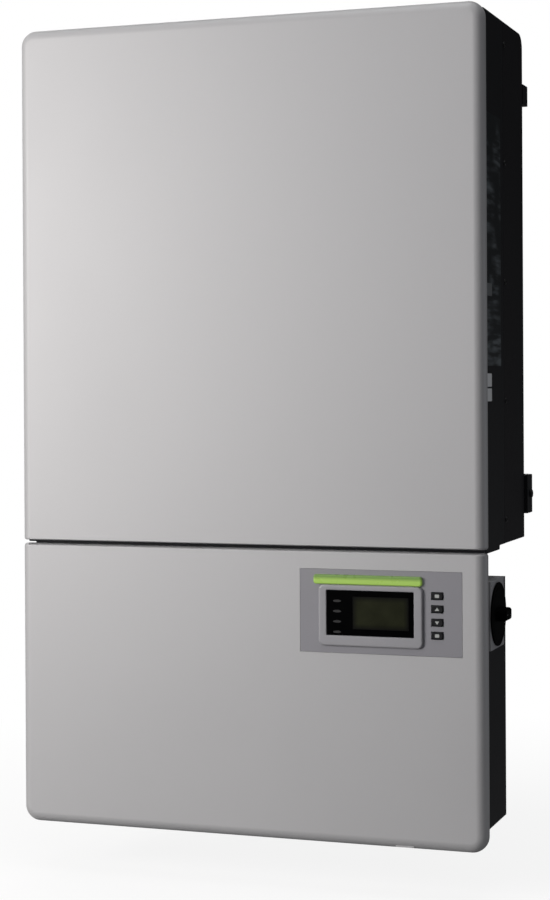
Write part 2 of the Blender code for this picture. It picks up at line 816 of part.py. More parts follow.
def wiring_parts(unit):
    back = BOX_BACK - BOX_BACK_WALL - GAP
    piece(
        "dc_fuse_block",
        prism("Z", comb(*FUSES[0], back, -166, -212, 12, 2.5), *FUSES[1]),
        unit, (0.04, 0.04, 0.045), 0.5,
    )
    piece(
        "surge_arresters",
        prism("Z", comb(*ARRESTERS[0], back, -166, -214, 4, 1.0), *ARRESTERS[1]),
        unit, (0.35, 0.06, 0.04), 0.5,
    )
    terminals = piece(
        "ac_terminal_block",
        prism("Z", comb(*TERMINALS[0], back, -176, -204, TERMINAL_COUNT, 5.0), *TERMINALS[1]),
        unit, (0.05, 0.05, 0.05), 0.5,
    )
    (left, right), (low, high) = TERMINALS
    pitch = (right - left + 5.0) / TERMINAL_COUNT
    cut(terminals, gather(
        rod("Y", (left + pitch / 2 + pitch * k, (low + high) / 2), 6, -210, -190, 12)
        for k in range(TERMINAL_COUNT)
    ))
    (left, right), (low, high) = GROUND_BAR
    ground = piece(
        "ground_bar", block((left, right), (-180, -168), (low, high)),
        unit, (0.6, 0.42, 0.12), 0.3, 1.0,
    )
    join(ground, blocks(*(
        ((foot, foot + 10), (-170, back), (low + 1, high - 1)) for foot in (left + 5, right - 15)
    )))
    board = piece(
        "communication_board", block(COMMUNICATION[0], COMMUNICATION_DEPTHS, COMMUNICATION[1]),
        unit, BOARD_GREEN, 0.5,
    )
    connector = ((210, 262), (-184, -167), (84, 100))
    radio = ((210, 240), (-178, -167), (150, 180))
    join(board, standoffs(COMMUNICATION, -167, back), blocks(connector, radio))


def disconnect(unit):
    centre = (SWITCH_Y, SWITCH_Z)
    inside = piece(
        "disconnect_body",
        block((206, BOX_INNER[1] - GAP), (-242, -165), (240, 311)),
        unit, (0.05, 0.05, 0.05), 0.5,
    )
    cut(inside, rod("X", centre, SHAFT_HOLE, 262, 290, 16))
    depths, heights = SWITCH_PLATE
    plate_face = DISC_FACES[0] - GAP
    box_top = BOX_HEIGHTS[1] + GAP
    plate_outline = [
        (BOX_HALF + GAP, heights[0]), (plate_face, heights[0]), (plate_face, heights[1]),
        (SWITCH_FLANGE_END, heights[1]), (SWITCH_FLANGE_END, box_top), (BOX_HALF + GAP, box_top),
    ]
    plate = piece(
        "disconnect_plate", prism("Y", plate_outline, *depths), unit, PLATE_GREY, 0.5
    )
    cut(plate, rod("X", centre, SHAFT_HOLE, 290, 305, 16))

    turning = body_empty("disconnect_rotor", (DISC_FACES[0], SWITCH_Y, SWITCH_Z), unit)
    knob = piece(
        "disconnect_knob",
        rod("X", centre, DISC_RADIUS, *DISC_FACES, 32),
        turning, (0.01, 0.01, 0.01), 0.45,
        pivot=(DISC_FACES[0], SWITCH_Y, SWITCH_Z),
    )
    half_grip = GRIP_LENGTH / 2
    join(
        knob,
        block(
            (DISC_FACES[1] - 1, GRIP_END),
            (SWITCH_Y - half_grip, SWITCH_Y + half_grip),
            (SWITCH_Z - GRIP_WIDTH / 2, SWITCH_Z + GRIP_WIDTH / 2),
        ),
        rod("X", centre, SHAFT_RADIUS, 266, DISC_FACES[0] + 1, 16),
    )


# The door and its hinge


def knuckles(ranges, bore):
    radius = KNUCKLE_BORE if bore else KNUCKLE_RADIUS
    reach = 1.0 if bore else 0.0
    return gather(
        rod("Z", (HINGE_X, HINGE_Y), radius, low - reach, high + reach, 16) for low, high in ranges
    )


def hinge(unit, door):
    box_leaf = piece(
        "hinge_leaf_box",
        block((BOX_RIM[0] - 3.3, BOX_RIM[0] - GAP), (-242, -228), HINGE_HEIGHTS),
        unit, STEEL, 0.35, 1.0,
    )
    box_webs = [((-292, -286), (HINGE_Y - 1.5, HINGE_Y + 1.5), heights) for heights in BOX_KNUCKLES]
    join(box_leaf, blocks(*box_webs), knuckles(BOX_KNUCKLES, bore=False))
    cut(box_leaf, knuckles(BOX_KNUCKLES, bore=True))

    rim_face = -HALF_WIDTH + PAN_WALL
    arm_x = (rim_face + GAP, rim_face + GAP + 2.2)
    door_leaf = piece(
        "hinge_leaf_door", block(arm_x, (-246, -244.2), HINGE_HEIGHTS), door, STEEL, 0.35, 1.0
    )
    arms = [(arm_x, (-245, HINGE_Y), heights) for heights in DOOR_KNUCKLES]
    join(door_leaf, blocks(*arms), knuckles(DOOR_KNUCKLES, bore=False))
    cut(door_leaf, knuckles(DOOR_KNUCKLES, bore=True))
    piece(
        "hinge_pin",
        rod("Z", (HINGE_X, HINGE_Y), PIN_RADIUS, HINGE_HEIGHTS[0], HINGE_HEIGHTS[1], 16),
        unit, STEEL, 0.3, 1.0,
    )


def key_range(middle, size, extra):
    return (middle - size / 2 - extra, middle + size / 2 + extra)


def key_holes():
    return blocks(*(
        (
            key_range(KEY_X, KEY_SIZE[0], KEY_CLEARANCE), THROUGH_DOOR,
            key_range(height, KEY_SIZE[1], KEY_CLEARANCE),
        )
        for height in KEY_HEIGHTS
    ))


def wiring_door(door):
    shell = piece(
        "wiring_door",
        pan((-HALF_WIDTH, HALF_WIDTH), (0.0, DOOR_TOP), seam_at_top=True),
        door, LIGHT_GREY, 0.4,
    )
    boss_x = tuple(SCREW_X + edge for edge in SCREW_BOSS[0])
    join(shell, block(boss_x, *SCREW_BOSS[1:]))
    floor_of_recess = FRONT + PANEL_THICKNESS + GAP
    screw_at = (SCREW_X, SCREW_Y)
    grown = [(low - GAP, high + GAP) for low, high in PANEL]
    cut(
        shell,
        block(grown[0], (FRONT - 2, floor_of_recess), grown[1]),
        block(DISPLAY_CUT[0], THROUGH_DOOR, DISPLAY_CUT[1]),
        key_holes(),
        rod("Z", screw_at, SCREW_SHANK_RADIUS + 0.4, -2, 15, 16),
        rod("Z", screw_at, SCREW_HEAD_RADIUS + 0.4, -2, SCREW_SEAT + GAP, 16),
    )
    head = rod("Z", screw_at, SCREW_HEAD_RADIUS, 1.2, SCREW_SEAT, 16)
    screw = piece("door_screw", head, door, STEEL, 0.3, 1.0)
    join(screw, rod("Z", screw_at, SCREW_SHANK_RADIUS, SCREW_SEAT - 0.7, 23.5, 12))


def display(door):
    overlay = piece(
        "keypad_overlay",
        block(PANEL[0], (FRONT, FRONT + PANEL_THICKNESS), PANEL[1]),
        door, PANEL_GREY, 0.5,
    )
    cut(overlay, block(DISPLAY_CUT[0], THROUGH_DOOR, DISPLAY_CUT[1]), key_holes())

    on_panel = FRONT - GAP
    bezel = piece(
        "display_bezel",
        prism("Y", rounded(*BEZEL, 7.0, steps=4), BEZEL_FRONT, on_panel),
        door, (0.32, 0.32, 0.33), 0.45,
    )
    opening = [(low - GAP, high + GAP) for low, high in WINDOW]
    cut(bezel, block(opening[0], (-270, -255), opening[1]))
    piece("display_window", block(WINDOW[0], (-262.8, on_panel), WINDOW[1]), door, BLACK, 0.05)
    piece(
        "status_light_bar",
        prism("Y", rounded(*LIGHT_BAR, 3.0, steps=3), LIGHT_BAR_FRONT, on_panel),
        door, (0.25, 0.55, 0.08), 0.3,
    )
    piece("display_module", block(LCD[0], (FRONT + 0.2, -250), LCD[1]), door, (0.1, 0.11, 0.06), 0.3)
    display_board = piece(
        "display_board", block(BOARD[0], BOARD_DEPTHS, BOARD[1]), door, BOARD_GREEN, 0.5
    )
    join(display_board, block((120, 150), (BOARD_DEPTHS[1] - 0.5, -244.5), (262, 290)))
    for number, height in enumerate(KEY_HEIGHTS, start=1):
        pivot = (KEY_X, KEY_FRONT, height)
        key_body = body_empty(f"key_{number}_body", pivot, door)
        outline = rounded(
            key_range(KEY_X, KEY_SIZE[0], 0), key_range(height, KEY_SIZE[1], 0), 2.0, steps=3
        )
        piece(
            f"key_{number}", prism("Y", outline, KEY_FRONT, -251.5),
            key_body, (0.02, 0.02, 0.022), 0.5, pivot=pivot,
        )


def build():
    clear_scene()
    bracket = wall_bracket()
    unit = body_empty("inverter", (0, 0, RAIL_HEIGHT), bracket)
    chassis(unit)
    rear_shroud(unit)
    main_cover(unit)
    heat_sink(unit)
    hangers_and_feet(unit)
    cooling(unit)
    power_electronics(unit)
    bulkhead_neck(unit)
    wiring_box(unit)
    conduit_plugs(unit)
    wiring_parts(unit)
    disconnect(unit)
    door = body_empty("door", (HINGE_X, HINGE_Y, HINGE_HEIGHTS[0]), unit)
    hinge(unit, door)
    wiring_door(door)
    display(door)


build()
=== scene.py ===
"""The looks of a wall-mounted string inverter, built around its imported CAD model.

Shapes are made in millimetres, with z measured up from the lower edge of the front as in the CAD
model, and scaled to the record frame in metres as each piece is made.
"""

import json
import math

import bmesh
import bpy
from mathutils import Matrix, Vector

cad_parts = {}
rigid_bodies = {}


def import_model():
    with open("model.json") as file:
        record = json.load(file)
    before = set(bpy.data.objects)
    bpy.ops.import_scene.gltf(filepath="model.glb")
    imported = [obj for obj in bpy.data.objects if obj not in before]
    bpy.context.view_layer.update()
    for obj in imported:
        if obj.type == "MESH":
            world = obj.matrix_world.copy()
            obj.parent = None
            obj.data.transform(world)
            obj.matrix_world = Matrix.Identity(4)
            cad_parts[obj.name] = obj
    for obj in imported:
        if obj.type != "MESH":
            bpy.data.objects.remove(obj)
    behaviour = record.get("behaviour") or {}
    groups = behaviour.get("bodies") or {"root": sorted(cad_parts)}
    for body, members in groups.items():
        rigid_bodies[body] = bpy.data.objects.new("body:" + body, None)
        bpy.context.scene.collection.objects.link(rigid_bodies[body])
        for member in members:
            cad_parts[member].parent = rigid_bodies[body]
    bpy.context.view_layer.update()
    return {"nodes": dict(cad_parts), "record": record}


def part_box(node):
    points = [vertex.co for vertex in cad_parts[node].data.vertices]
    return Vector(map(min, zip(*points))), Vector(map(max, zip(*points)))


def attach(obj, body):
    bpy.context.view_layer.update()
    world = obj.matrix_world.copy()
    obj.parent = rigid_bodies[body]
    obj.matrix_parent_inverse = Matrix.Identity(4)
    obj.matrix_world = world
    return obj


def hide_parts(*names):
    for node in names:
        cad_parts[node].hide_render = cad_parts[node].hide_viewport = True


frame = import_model()

MM = 0.001
LOWER_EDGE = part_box("wiring_door")[0].z
SIDES = {"left": -1, "right": 1}
GAP = 0.3  # between pieces that touch, as in the CAD model

# The light cover and the light door share one pressed-pan shape
PAN_WALL = 2.5
CORNER_RADIUS = 20.0
EDGE_RADIUS = 13.0
SEAM_CORNER = 3.5
SEAM_ROLL = 2.2
BACK_EDGE = 0.6

# Holes for the door screw, and the boss that it turns in
SHANK_HOLE = 3.0
RECESS_DEPTH = 6.0
BOSS_HALF = 11.0
BOSS_DEPTHS = (-256.5, -246.0)
BOSS_HEIGHTS = (2.0, 12.0)

# Air outlets in the top
OUTLET_CENTRES = (-195.0, -65.0, 65.0, 195.0)
SLAT_HALF_LENGTH = 54.8
SLAT_COUNT = 7
SLAT_START = -122.5
SLAT_PITCH = 9.0

# Underside and top of the wiring box's floor, which the conduit fittings clamp
BOX_FLOOR = (24.0, 28.0)

# The display: its lit area, and the status marks beside it
LCD_VIEW = ((138.5, 208.0), (259.0, 298.5))
MARK_X = 119.4
MARK_HEIGHTS = (292.4, 280.1, 267.8, 255.4)
DISPLAY_MARGIN = (4.2, 4.3)  # between the display module and the hole around it

# Board faces, in depth
COMMUNICATION_BOARD = (-168.0, -166.4)
DISPLAY_BOARD_BACK = -248.0

# The disconnect: distance between poles, and its knob
POLE_PITCH = 18.4
SHAFT_RADIUS = 5.7
DIAL_THICKNESS = 2.0
GRIP_WIDTH = 15.2
GRIP_LENGTH = 33.0


def span(node):
    """A CAD node's box in millimetres: its x, y and z ranges, with z from the lower edge."""
    low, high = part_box(node)
    return (
        (low.x / MM, high.x / MM),
        (low.y / MM, high.y / MM),
        ((low.z - LOWER_EDGE) / MM, (high.z - LOWER_EDGE) / MM),
    )


def middle(pair):
    return (pair[0] + pair[1]) / 2


def grown(pair, extra):
    return (pair[0] - extra, pair[1] + extra)


# Materials


class Nodes:
    """A short way to add and join shader nodes."""

    def __init__(self, name):
        self.material = bpy.data.materials.new(name)
        self.material.use_nodes = True
        self.tree = self.material.node_tree
        self.shader = self.tree.nodes["Principled BSDF"]
        self.place = self.add("ShaderNodeTexCoord").outputs["Object"]

    def add(self, kind, links=None, **settings):
        node = self.tree.nodes.new(kind)
        for key, value in settings.items():
            setattr(node, key, value)
        for socket, value in (links or {}).items():
            self.put(node.inputs[socket], value)
        return node

    def put(self, socket, value):
        if isinstance(value, bpy.types.NodeSocket):
            self.tree.links.new(value, socket)
        else:
            socket.default_value = value

    def set(self, **values):
        for key, value in values.items():
            self.put(self.shader.inputs[key.replace("_", " ")], value)

    def stretched(self, scale):
        node = self.add("ShaderNodeMapping", {"Vector": self.place, "Scale": scale})
        return node.outputs["Vector"]

    def noise(self, scale, detail=2.0, place=None):
        node = self.add(
            "ShaderNodeTexNoise",
            {"Vector": place or self.place, "Scale": scale, "Detail": detail, "Roughness": 0.55},
        )
        return node.outputs["Fac"]

    def cells(self, scale, feature="F1", output="Color"):
        node = self.add(
            "ShaderNodeTexVoronoi", {"Vector": self.place, "Scale": scale}, feature=feature
        )
        return node.outputs[output]

    def between(self, value, low, high, start=0.0, end=1.0):
        node = self.add(
            "ShaderNodeMapRange",
            {"Value": value, "From Min": start, "From Max": end, "To Min": low, "To Max": high},
        )
        return node.outputs["Result"]

    def math(self, operation, first, second=0.0):
        node = self.add("ShaderNodeMath", {0: first, 1: second}, operation=operation)
        return node.outputs[0]

    def painted_edge_shade_mask(self, value, low, high, width=0.007):
        """0 at both ends of a range, and 1 further in than width; used as the mask for the painted
        shade along the display's edges.
        """
        painted_shade_ramp = self.between(value, 0.0, 1.0, low, low + width)
        return self.math("MULTIPLY", painted_shade_ramp, self.between(value, 1.0, 0.0, high - width, high))

    def blend(self, factor, first, second):
        node = self.add("ShaderNodeMix", data_type="RGBA")
        for socket, value in ((0, factor), (6, first), (7, second)):
            self.put(node.inputs[socket], value)
        return node.outputs[2]

    def bump(self, height, strength, distance, after=None):
        links = {"Height": height, "Strength": strength, "Distance": distance}
        if after:
            links["Normal"] = after
        return self.add("ShaderNodeBump", links).outputs["Normal"]


def rgba(colour, factor=1.0):
    return tuple(min(1.0, channel * factor) for channel in colour) + (1.0,)


def coat(name, colour, roughness, specular=0.5, metallic=0.0, variation=0.04, grain=1400.0,
         grain_depth=0.00006, strength=0.25, patch=9.0, rough_change=0.06, clear=0.0):
    """A finish with a fine grain, slow colour changes and uneven roughness."""
    nodes = Nodes(name)
    cloud = nodes.noise(patch, 4.0)
    fine = nodes.noise(grain, 3.0)
    speck = nodes.noise(grain / 3.1, 2.0)
    mixed = nodes.math("ADD", nodes.math("MULTIPLY", cloud, 0.7), nodes.math("MULTIPLY", speck, 0.3))
    nodes.set(
        Base_Color=nodes.blend(
            nodes.between(mixed, 0.0, 1.0, 0.3, 0.7),
            rgba(colour, 1 - variation), rgba(colour, 1 + variation),
        ),
        Roughness=nodes.between(mixed, roughness - rough_change, roughness + rough_change, 0.3, 0.7),
        Metallic=metallic,
        Specular_IOR_Level=specular,
        Coat_Weight=clear,
        Coat_Roughness=0.08,
        Normal=nodes.bump(fine, strength, grain_depth),
    )
    return nodes.material


def galvanised():
    """Zinc spangle: small flat crystals, each with its own brightness and gloss."""
    nodes = Nodes("galvanised_sheet")
    crystal = nodes.cells(85.0)
    tone = nodes.add("ShaderNodeSeparateColor", {0: crystal}).outputs[0]
    haze = nodes.noise(14.0, 3.0)
    nodes.set(
        Base_Color=nodes.blend(tone, (0.34, 0.35, 0.36, 1), (0.55, 0.56, 0.58, 1)),
        Roughness=nodes.between(nodes.math("ADD", tone, haze), 0.3, 0.52, 0.3, 1.6),
        Metallic=1.0,
        Normal=nodes.bump(nodes.noise(420.0, 3.0), 0.12, 0.00008),
    )
    return nodes.material


def brushed(name, colour, roughness, along=(40.0, 900.0, 900.0)):
    """Metal with fine drawn lines along one axis."""
    nodes = Nodes(name)
    lines = nodes.noise(1.0, 3.0, nodes.stretched(along))
    haze = nodes.noise(25.0, 3.0)
    nodes.set(
        Base_Color=nodes.blend(lines, rgba(colour, 0.86), rgba(colour, 1.1)),
        Roughness=nodes.between(haze, roughness - 0.07, roughness + 0.08, 0.3, 0.7),
        Metallic=1.0,
        Normal=nodes.bump(lines, 0.1, 0.00005),
    )
    return nodes.material


def circuit():
    """Green solder mask over copper tracks, with rows of small pads."""
    nodes = Nodes("circuit_board")
    tracks = nodes.add(
        "ShaderNodeTexBrick",
        {"Vector": nodes.add("ShaderNodeMapping", {
            "Vector": nodes.place, "Rotation": (math.radians(90), 0, 0)}).outputs["Vector"],
         "Scale": 70.0, "Mortar Size": 0.03, "Brick Width": 0.9, "Row Height": 0.22,
         "Color1": (0.0, 0.0, 0.0, 1), "Color2": (0.25, 0.25, 0.25, 1), "Mortar": (1, 1, 1, 1)},
    ).outputs["Color"]
    level = nodes.add("ShaderNodeSeparateColor", {0: tracks}).outputs[0]
    pads = nodes.between(nodes.cells(260.0, "F1", "Distance"), 1.0, 0.0, 0.16, 0.2)
    mask = nodes.blend(level, (0.006, 0.085, 0.035, 1), (0.02, 0.2, 0.085, 1))
    nodes.set(
        Base_Color=nodes.blend(pads, mask, (0.55, 0.52, 0.44, 1)),
        Roughness=nodes.between(nodes.noise(60.0), 0.28, 0.42, 0.3, 0.7),
        Normal=nodes.bump(nodes.math("ADD", level, pads), 0.3, 0.00006),
    )
    return nodes.material


def liquid_crystal():
    """A dark olive display with a fine grid of dots, and painted shade darkening it towards its
    edges.
    """
    nodes = Nodes("liquid_crystal")
    grid = nodes.add(
        "ShaderNodeTexChecker",
        {"Vector": nodes.stretched((1.0, 0.001, 1.0)), "Scale": 1600.0,
         "Color1": (0.0, 0.0, 0.0, 1), "Color2": (1, 1, 1, 1)},
    ).outputs["Fac"]
    cloud = nodes.noise(45.0, 2.0)
    tone = nodes.math("ADD", nodes.math("MULTIPLY", grid, 0.12), cloud)
    at = nodes.add("ShaderNodeSeparateXYZ", {0: nodes.place}).outputs
    (left, right), (low, high) = LCD_VIEW
    # Painted shade: this mask is 0 along the display's edges, where its colour is blended to
    # near-black to stand in for shade in its recess.
    inside = nodes.math(
        "MULTIPLY", nodes.painted_edge_shade_mask(at[0], left * MM, right * MM),
        nodes.painted_edge_shade_mask(at[2], low * MM + LOWER_EDGE, high * MM + LOWER_EDGE),
    )
    tone = nodes.between(tone, 0.0, 1.0, 0.3, 0.85)
    lit = nodes.blend(tone, (0.0105, 0.0115, 0.0045, 1), (0.019, 0.021, 0.009, 1))
    nodes.set(
        # The near-black colour here is painted shade along the display's edges, not the crystal's own
        # colour.
        Base_Color=nodes.blend(inside, (0.0016, 0.0016, 0.0015, 1), lit),
        Roughness=nodes.between(cloud, 0.26, 0.34),
        Specular_IOR_Level=0.1,
        Normal=nodes.bump(grid, 0.05, 0.00002),
    )
    return nodes.material


def light_guide():
    """Translucent green moulding, lit from behind, with painted shade darkening its upper part."""
    nodes = Nodes("light_guide")
    cloud = nodes.noise(70.0, 2.0)
    height = nodes.add("ShaderNodeSeparateXYZ", {0: nodes.place}).outputs[2]
    low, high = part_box("status_light_bar")
    # Painted shade: from part way up the bar its green is blended darker towards the top, standing in
    # for shade along its upper edge.
    painted_shade_ramp = nodes.between(
        height, 0.0, 1.0, low.z + 0.45 * (high.z - low.z), low.z + 0.8 * (high.z - low.z)
    )
    # The darker green is painted shade; the glow uses the same colour, so it carries the painted
    # shade too.
    tone = nodes.blend(painted_shade_ramp, (0.3, 0.47, 0.09, 1), (0.12, 0.22, 0.045, 1))
    nodes.set(
        Base_Color=tone,
        Roughness=nodes.between(cloud, 0.24, 0.34, 0.3, 0.7),
        Emission_Color=tone,
        Emission_Strength=0.28,
        Coat_Weight=0.3,
        Normal=nodes.bump(nodes.noise(900.0), 0.04, 0.00001),
    )
    return nodes.material


def streaked_film():
    """A dark film with faint grey bands across it and no lettering."""
    nodes = Nodes("dark_blank_film")
    bands = nodes.noise(1.0, 2.0, nodes.stretched((1.0, 16.0, 150.0)))
    blocks = nodes.noise(1.0, 1.0, nodes.stretched((1.0, 20.0, 22.0)))
    level = nodes.math("MULTIPLY", nodes.between(bands, 0.0, 1.0, 0.42, 0.66),
                       nodes.between(blocks, 0.0, 1.0, 0.4, 0.62))
    nodes.set(
        Base_Color=nodes.blend(level, (0.012, 0.015, 0.0175, 1), (0.15, 0.17, 0.185, 1)),
        Roughness=nodes.between(bands, 0.42, 0.5),
        Specular_IOR_Level=0.18,
        Normal=nodes.bump(nodes.noise(1500.0), 0.15, 0.00004),
    )
    return nodes.material


MATERIALS = {
    "light_coat": coat(
        "light_powder_coat", (0.44, 0.439, 0.45), 0.5, specular=0.4, metallic=0.1, variation=0.018,
        grain=1500.0, grain_depth=0.00007, strength=0.18, patch=5.0, rough_change=0.03,
    ),
    "black_coat": coat(
        "black_powder_coat", (0.0125, 0.013, 0.0155), 0.55, specular=0.12, variation=0.2,
        grain=1300.0, grain_depth=0.0001, strength=0.3, patch=7.0,
    ),
    "cast_coat": coat(
        "dark_cast_coat", (0.0075, 0.007, 0.009), 0.6, specular=0.16, variation=0.25, grain=900.0,
        grain_depth=0.00014, strength=0.4, rough_change=0.07,
    ),
    "galvanised_steel": galvanised(),
    "screw_steel": brushed("stainless_screw", (0.42, 0.42, 0.43), 0.32, (700.0, 700.0, 160.0)),
    "black_screw": coat(
        "blackened_screw", (0.012, 0.012, 0.013), 0.42, specular=0.3, variation=0.2, grain=800.0,
    ),
    "bare_aluminium": brushed("extruded_aluminium", (0.6, 0.61, 0.62), 0.34, (900.0, 900.0, 30.0)),
    "capacitor_can": coat("capacitor_sleeve", (0.035, 0.045, 0.12), 0.38, variation=0.1, grain=500.0),
    "black_rubber": coat(
        "foam_rubber", (0.012, 0.012, 0.012), 0.9, specular=0.3, variation=0.25, grain=650.0,
        grain_depth=0.0004, strength=0.7,
    ),
    "panel_film": coat(
        "keypad_film", (0.25, 0.247, 0.27), 0.46, specular=0.35, variation=0.03, grain=2600.0,
        grain_depth=0.00003, strength=0.12,
    ),
    "bezel_grey": coat(
        "moulded_frame", (0.3, 0.298, 0.318), 0.36, specular=0.45, grain=1900.0,
        grain_depth=0.00004, strength=0.2, clear=0.15,
    ),
    "smoked_window": coat(
        "smoked_window", (0.0008, 0.0008, 0.001), 0.16, specular=0.05, variation=0.2, grain=300.0,
        grain_depth=0.00001, strength=0.04, patch=30.0, rough_change=0.03,
    ),
    "status_mark": coat(
        "status_mark", (0.026, 0.026, 0.027), 0.45, specular=0.2, variation=0.25, grain=900.0,
    ),
    "display_glass": liquid_crystal(),
    "green_light": light_guide(),
    "key_black": coat(
        "key_moulding", (0.0065, 0.0065, 0.008), 0.46, specular=0.2, variation=0.15, grain=2200.0,
    ),
    "key_mark": coat("key_mark", (0.4, 0.41, 0.4), 0.45, specular=0.4, variation=0.08, grain=1800.0),
    "plate_grey": coat(
        "switch_plate", (0.4, 0.4, 0.42), 0.5, specular=0.35, variation=0.08, grain=1500.0,
        strength=0.3,
    ),
    "plug_grey": coat(
        "glass_filled_plastic", (0.09, 0.09, 0.095), 0.5, specular=0.4, variation=0.1, grain=1100.0,
        grain_depth=0.00008, strength=0.35,
    ),
    "knob_black": coat(
        "knob_moulding", (0.001, 0.001, 0.0013), 0.6, specular=0.02, variation=0.2, grain=1500.0,
        strength=0.3,
    ),
    "fan_black": coat(
        "fan_moulding", (0.016, 0.016, 0.017), 0.42, specular=0.4, variation=0.12, grain=1300.0,
    ),
    "board_green": circuit(),
    "module_black": coat(
        "thermoset", (0.022, 0.022, 0.024), 0.46, specular=0.4, variation=0.15, grain=900.0,
        grain_depth=0.0001, strength=0.3,
    ),
    "arrester_red": coat(
        "arrester_moulding", (0.42, 0.045, 0.03), 0.42, specular=0.4, variation=0.08, grain=1200.0,
    ),
    "ground_brass": brushed("drawn_brass", (0.62, 0.43, 0.15), 0.28, (30.0, 700.0, 700.0)),
    "terminal_green": coat(
        "plug_terminal", (0.02, 0.22, 0.06), 0.45, specular=0.4, variation=0.08, grain=1200.0,
    ),
    "label_film": coat(
        "blank_label", (0.84, 0.85, 0.87), 0.5, specular=0.3, variation=0.06, grain=1700.0,
    ),
    "faint_film": coat(
        "faint_blank_label", (0.17, 0.18, 0.19), 0.5, specular=0.25, variation=0.1, grain=1700.0,
    ),
    "dark_film": streaked_film(),
}


# Shapes, in millimetres


def loft(loops, ring=False):
    """Skins matching loops of points: capped at both ends, or closed on itself as a ring."""
    bm = bmesh.new()
    rows = [[bm.verts.new(point) for point in loop] for loop in loops]
    pairs = list(zip(rows, rows[1:]))
    if ring:
        pairs.append((rows[-1], rows[0]))
    else:
        bm.faces.new(rows[0])
        bm.faces.new(rows[-1])
    for first, second in pairs:
        for k in range(len(first)):
            after = (k + 1) % len(first)
            bm.faces.new((first[k], first[after], second[after], second[k]))
    return bm


AXES = {
    "X": lambda along, a, b: (along, a, b),
    "Y": lambda along, a, b: (a, along, b),
    "Z": lambda along, a, b: (a, b, along),
}


def prism(axis, outline, start, end):
    at = AXES[axis]
    return loft([[at(level, a, b) for a, b in outline] for level in (start, end)])


def block(x, y, z):
    return prism("Z", [(x[0], y[0]), (x[1], y[0]), (x[1], y[1]), (x[0], y[1])], *z)


def gather(meshes):
    """Several separate closed shapes in one mesh."""
    whole = bmesh.new()
    for bm in meshes:
        part = bpy.data.meshes.new("part")
        bm.to_mesh(part)
        bm.free()
        whole.from_mesh(part)
        bpy.data.meshes.remove(part)
    return whole


def round_cornered(a, b, low_radius, high_radius, steps=8):
    """A rectangle with one corner radius at its low b end and another at its high b end."""
    corners = (
        (a[1] - high_radius, b[1] - high_radius, high_radius, 0),
        (a[0] + high_radius, b[1] - high_radius, high_radius, 90),
        (a[0] + low_radius, b[0] + low_radius, low_radius, 180),
        (a[1] - low_radius, b[0] + low_radius, low_radius, 270),
    )
    points = []
    for middle_a, middle_b, radius, start in corners:
        for k in range(steps + 1):
            angle = math.radians(start + 90 * k / steps)
            points.append(
                (middle_a + radius * math.cos(angle), middle_b + radius * math.sin(angle))
            )
    return points


def rounded(a, b, radius, inset=0.0, steps=8):
    """A rectangle with round corners, moved inwards by inset, always with the same point count."""
    turn = max(radius - inset, 0.2)
    return round_cornered(
        (a[0] + inset, a[1] - inset), (b[0] + inset, b[1] - inset), turn, turn, steps
    )


def turned(axis, centre, profile, sides=40, facets=6):
    """Rings along an axis. Each profile row is (radius, level), or (flats, level, "hex")."""
    at = AXES[axis]
    loops = []
    for row in profile:
        radius, level = row[:2]
        loop = []
        for k in range(sides):
            angle = 2 * math.pi * k / sides
            reach = radius
            if len(row) > 2:
                step = 2 * math.pi / facets
                reach = radius / math.cos((angle + step / 2) % step - step / 2)
            loop.append(at(
                level, centre[0] + reach * math.cos(angle), centre[1] + reach * math.sin(angle)
            ))
        loops.append(loop)
    return loft(loops)


def bolt(axis, centre, radius, seat, outward, height):
    """A domed screw head with a hexagon socket; its back lies just under the seat."""
    up = outward * height
    socket = radius * 0.42
    return turned(axis, centre, [
        (radius * 0.97, seat - 0.3 * outward), (radius, seat + 0.12 * up),
        (radius * 0.95, seat + 0.55 * up), (radius * 0.8, seat + 0.88 * up),
        (radius * 0.62, seat + up), (socket, seat + up, "hex"),
        (socket * 0.95, seat + 0.35 * up, "hex"),
    ], sides=24)


# Making pieces


def to_frame(bm):
    """From millimetres above the lower edge to the record frame in metres."""
    bmesh.ops.recalc_face_normals(bm, faces=bm.faces)
    bmesh.ops.scale(bm, verts=bm.verts, vec=(MM, MM, MM))
    bmesh.ops.translate(bm, verts=bm.verts, vec=(0, 0, LOWER_EDGE))


def new_object(name, bm):
    mesh = bpy.data.meshes.new(name)
    bm.to_mesh(mesh)
    bm.free()
    thing = bpy.data.objects.new(name, mesh)
    bpy.context.scene.collection.objects.link(thing)
    return thing


def settle(thing, smooth_angle):
    """Applies a piece's modifiers and shades its round surfaces smooth."""
    result = thing.evaluated_get(bpy.context.evaluated_depsgraph_get())
    mesh = bpy.data.meshes.new_from_object(result)
    thing.modifiers.clear()
    thing.data = mesh
    mesh.shade_smooth()
    mesh.set_sharp_from_angle(angle=math.radians(smooth_angle))
    weighted = thing.modifiers.new("even_shading", "WEIGHTED_NORMAL")
    weighted.keep_sharp = True
    weighted.weight = 80


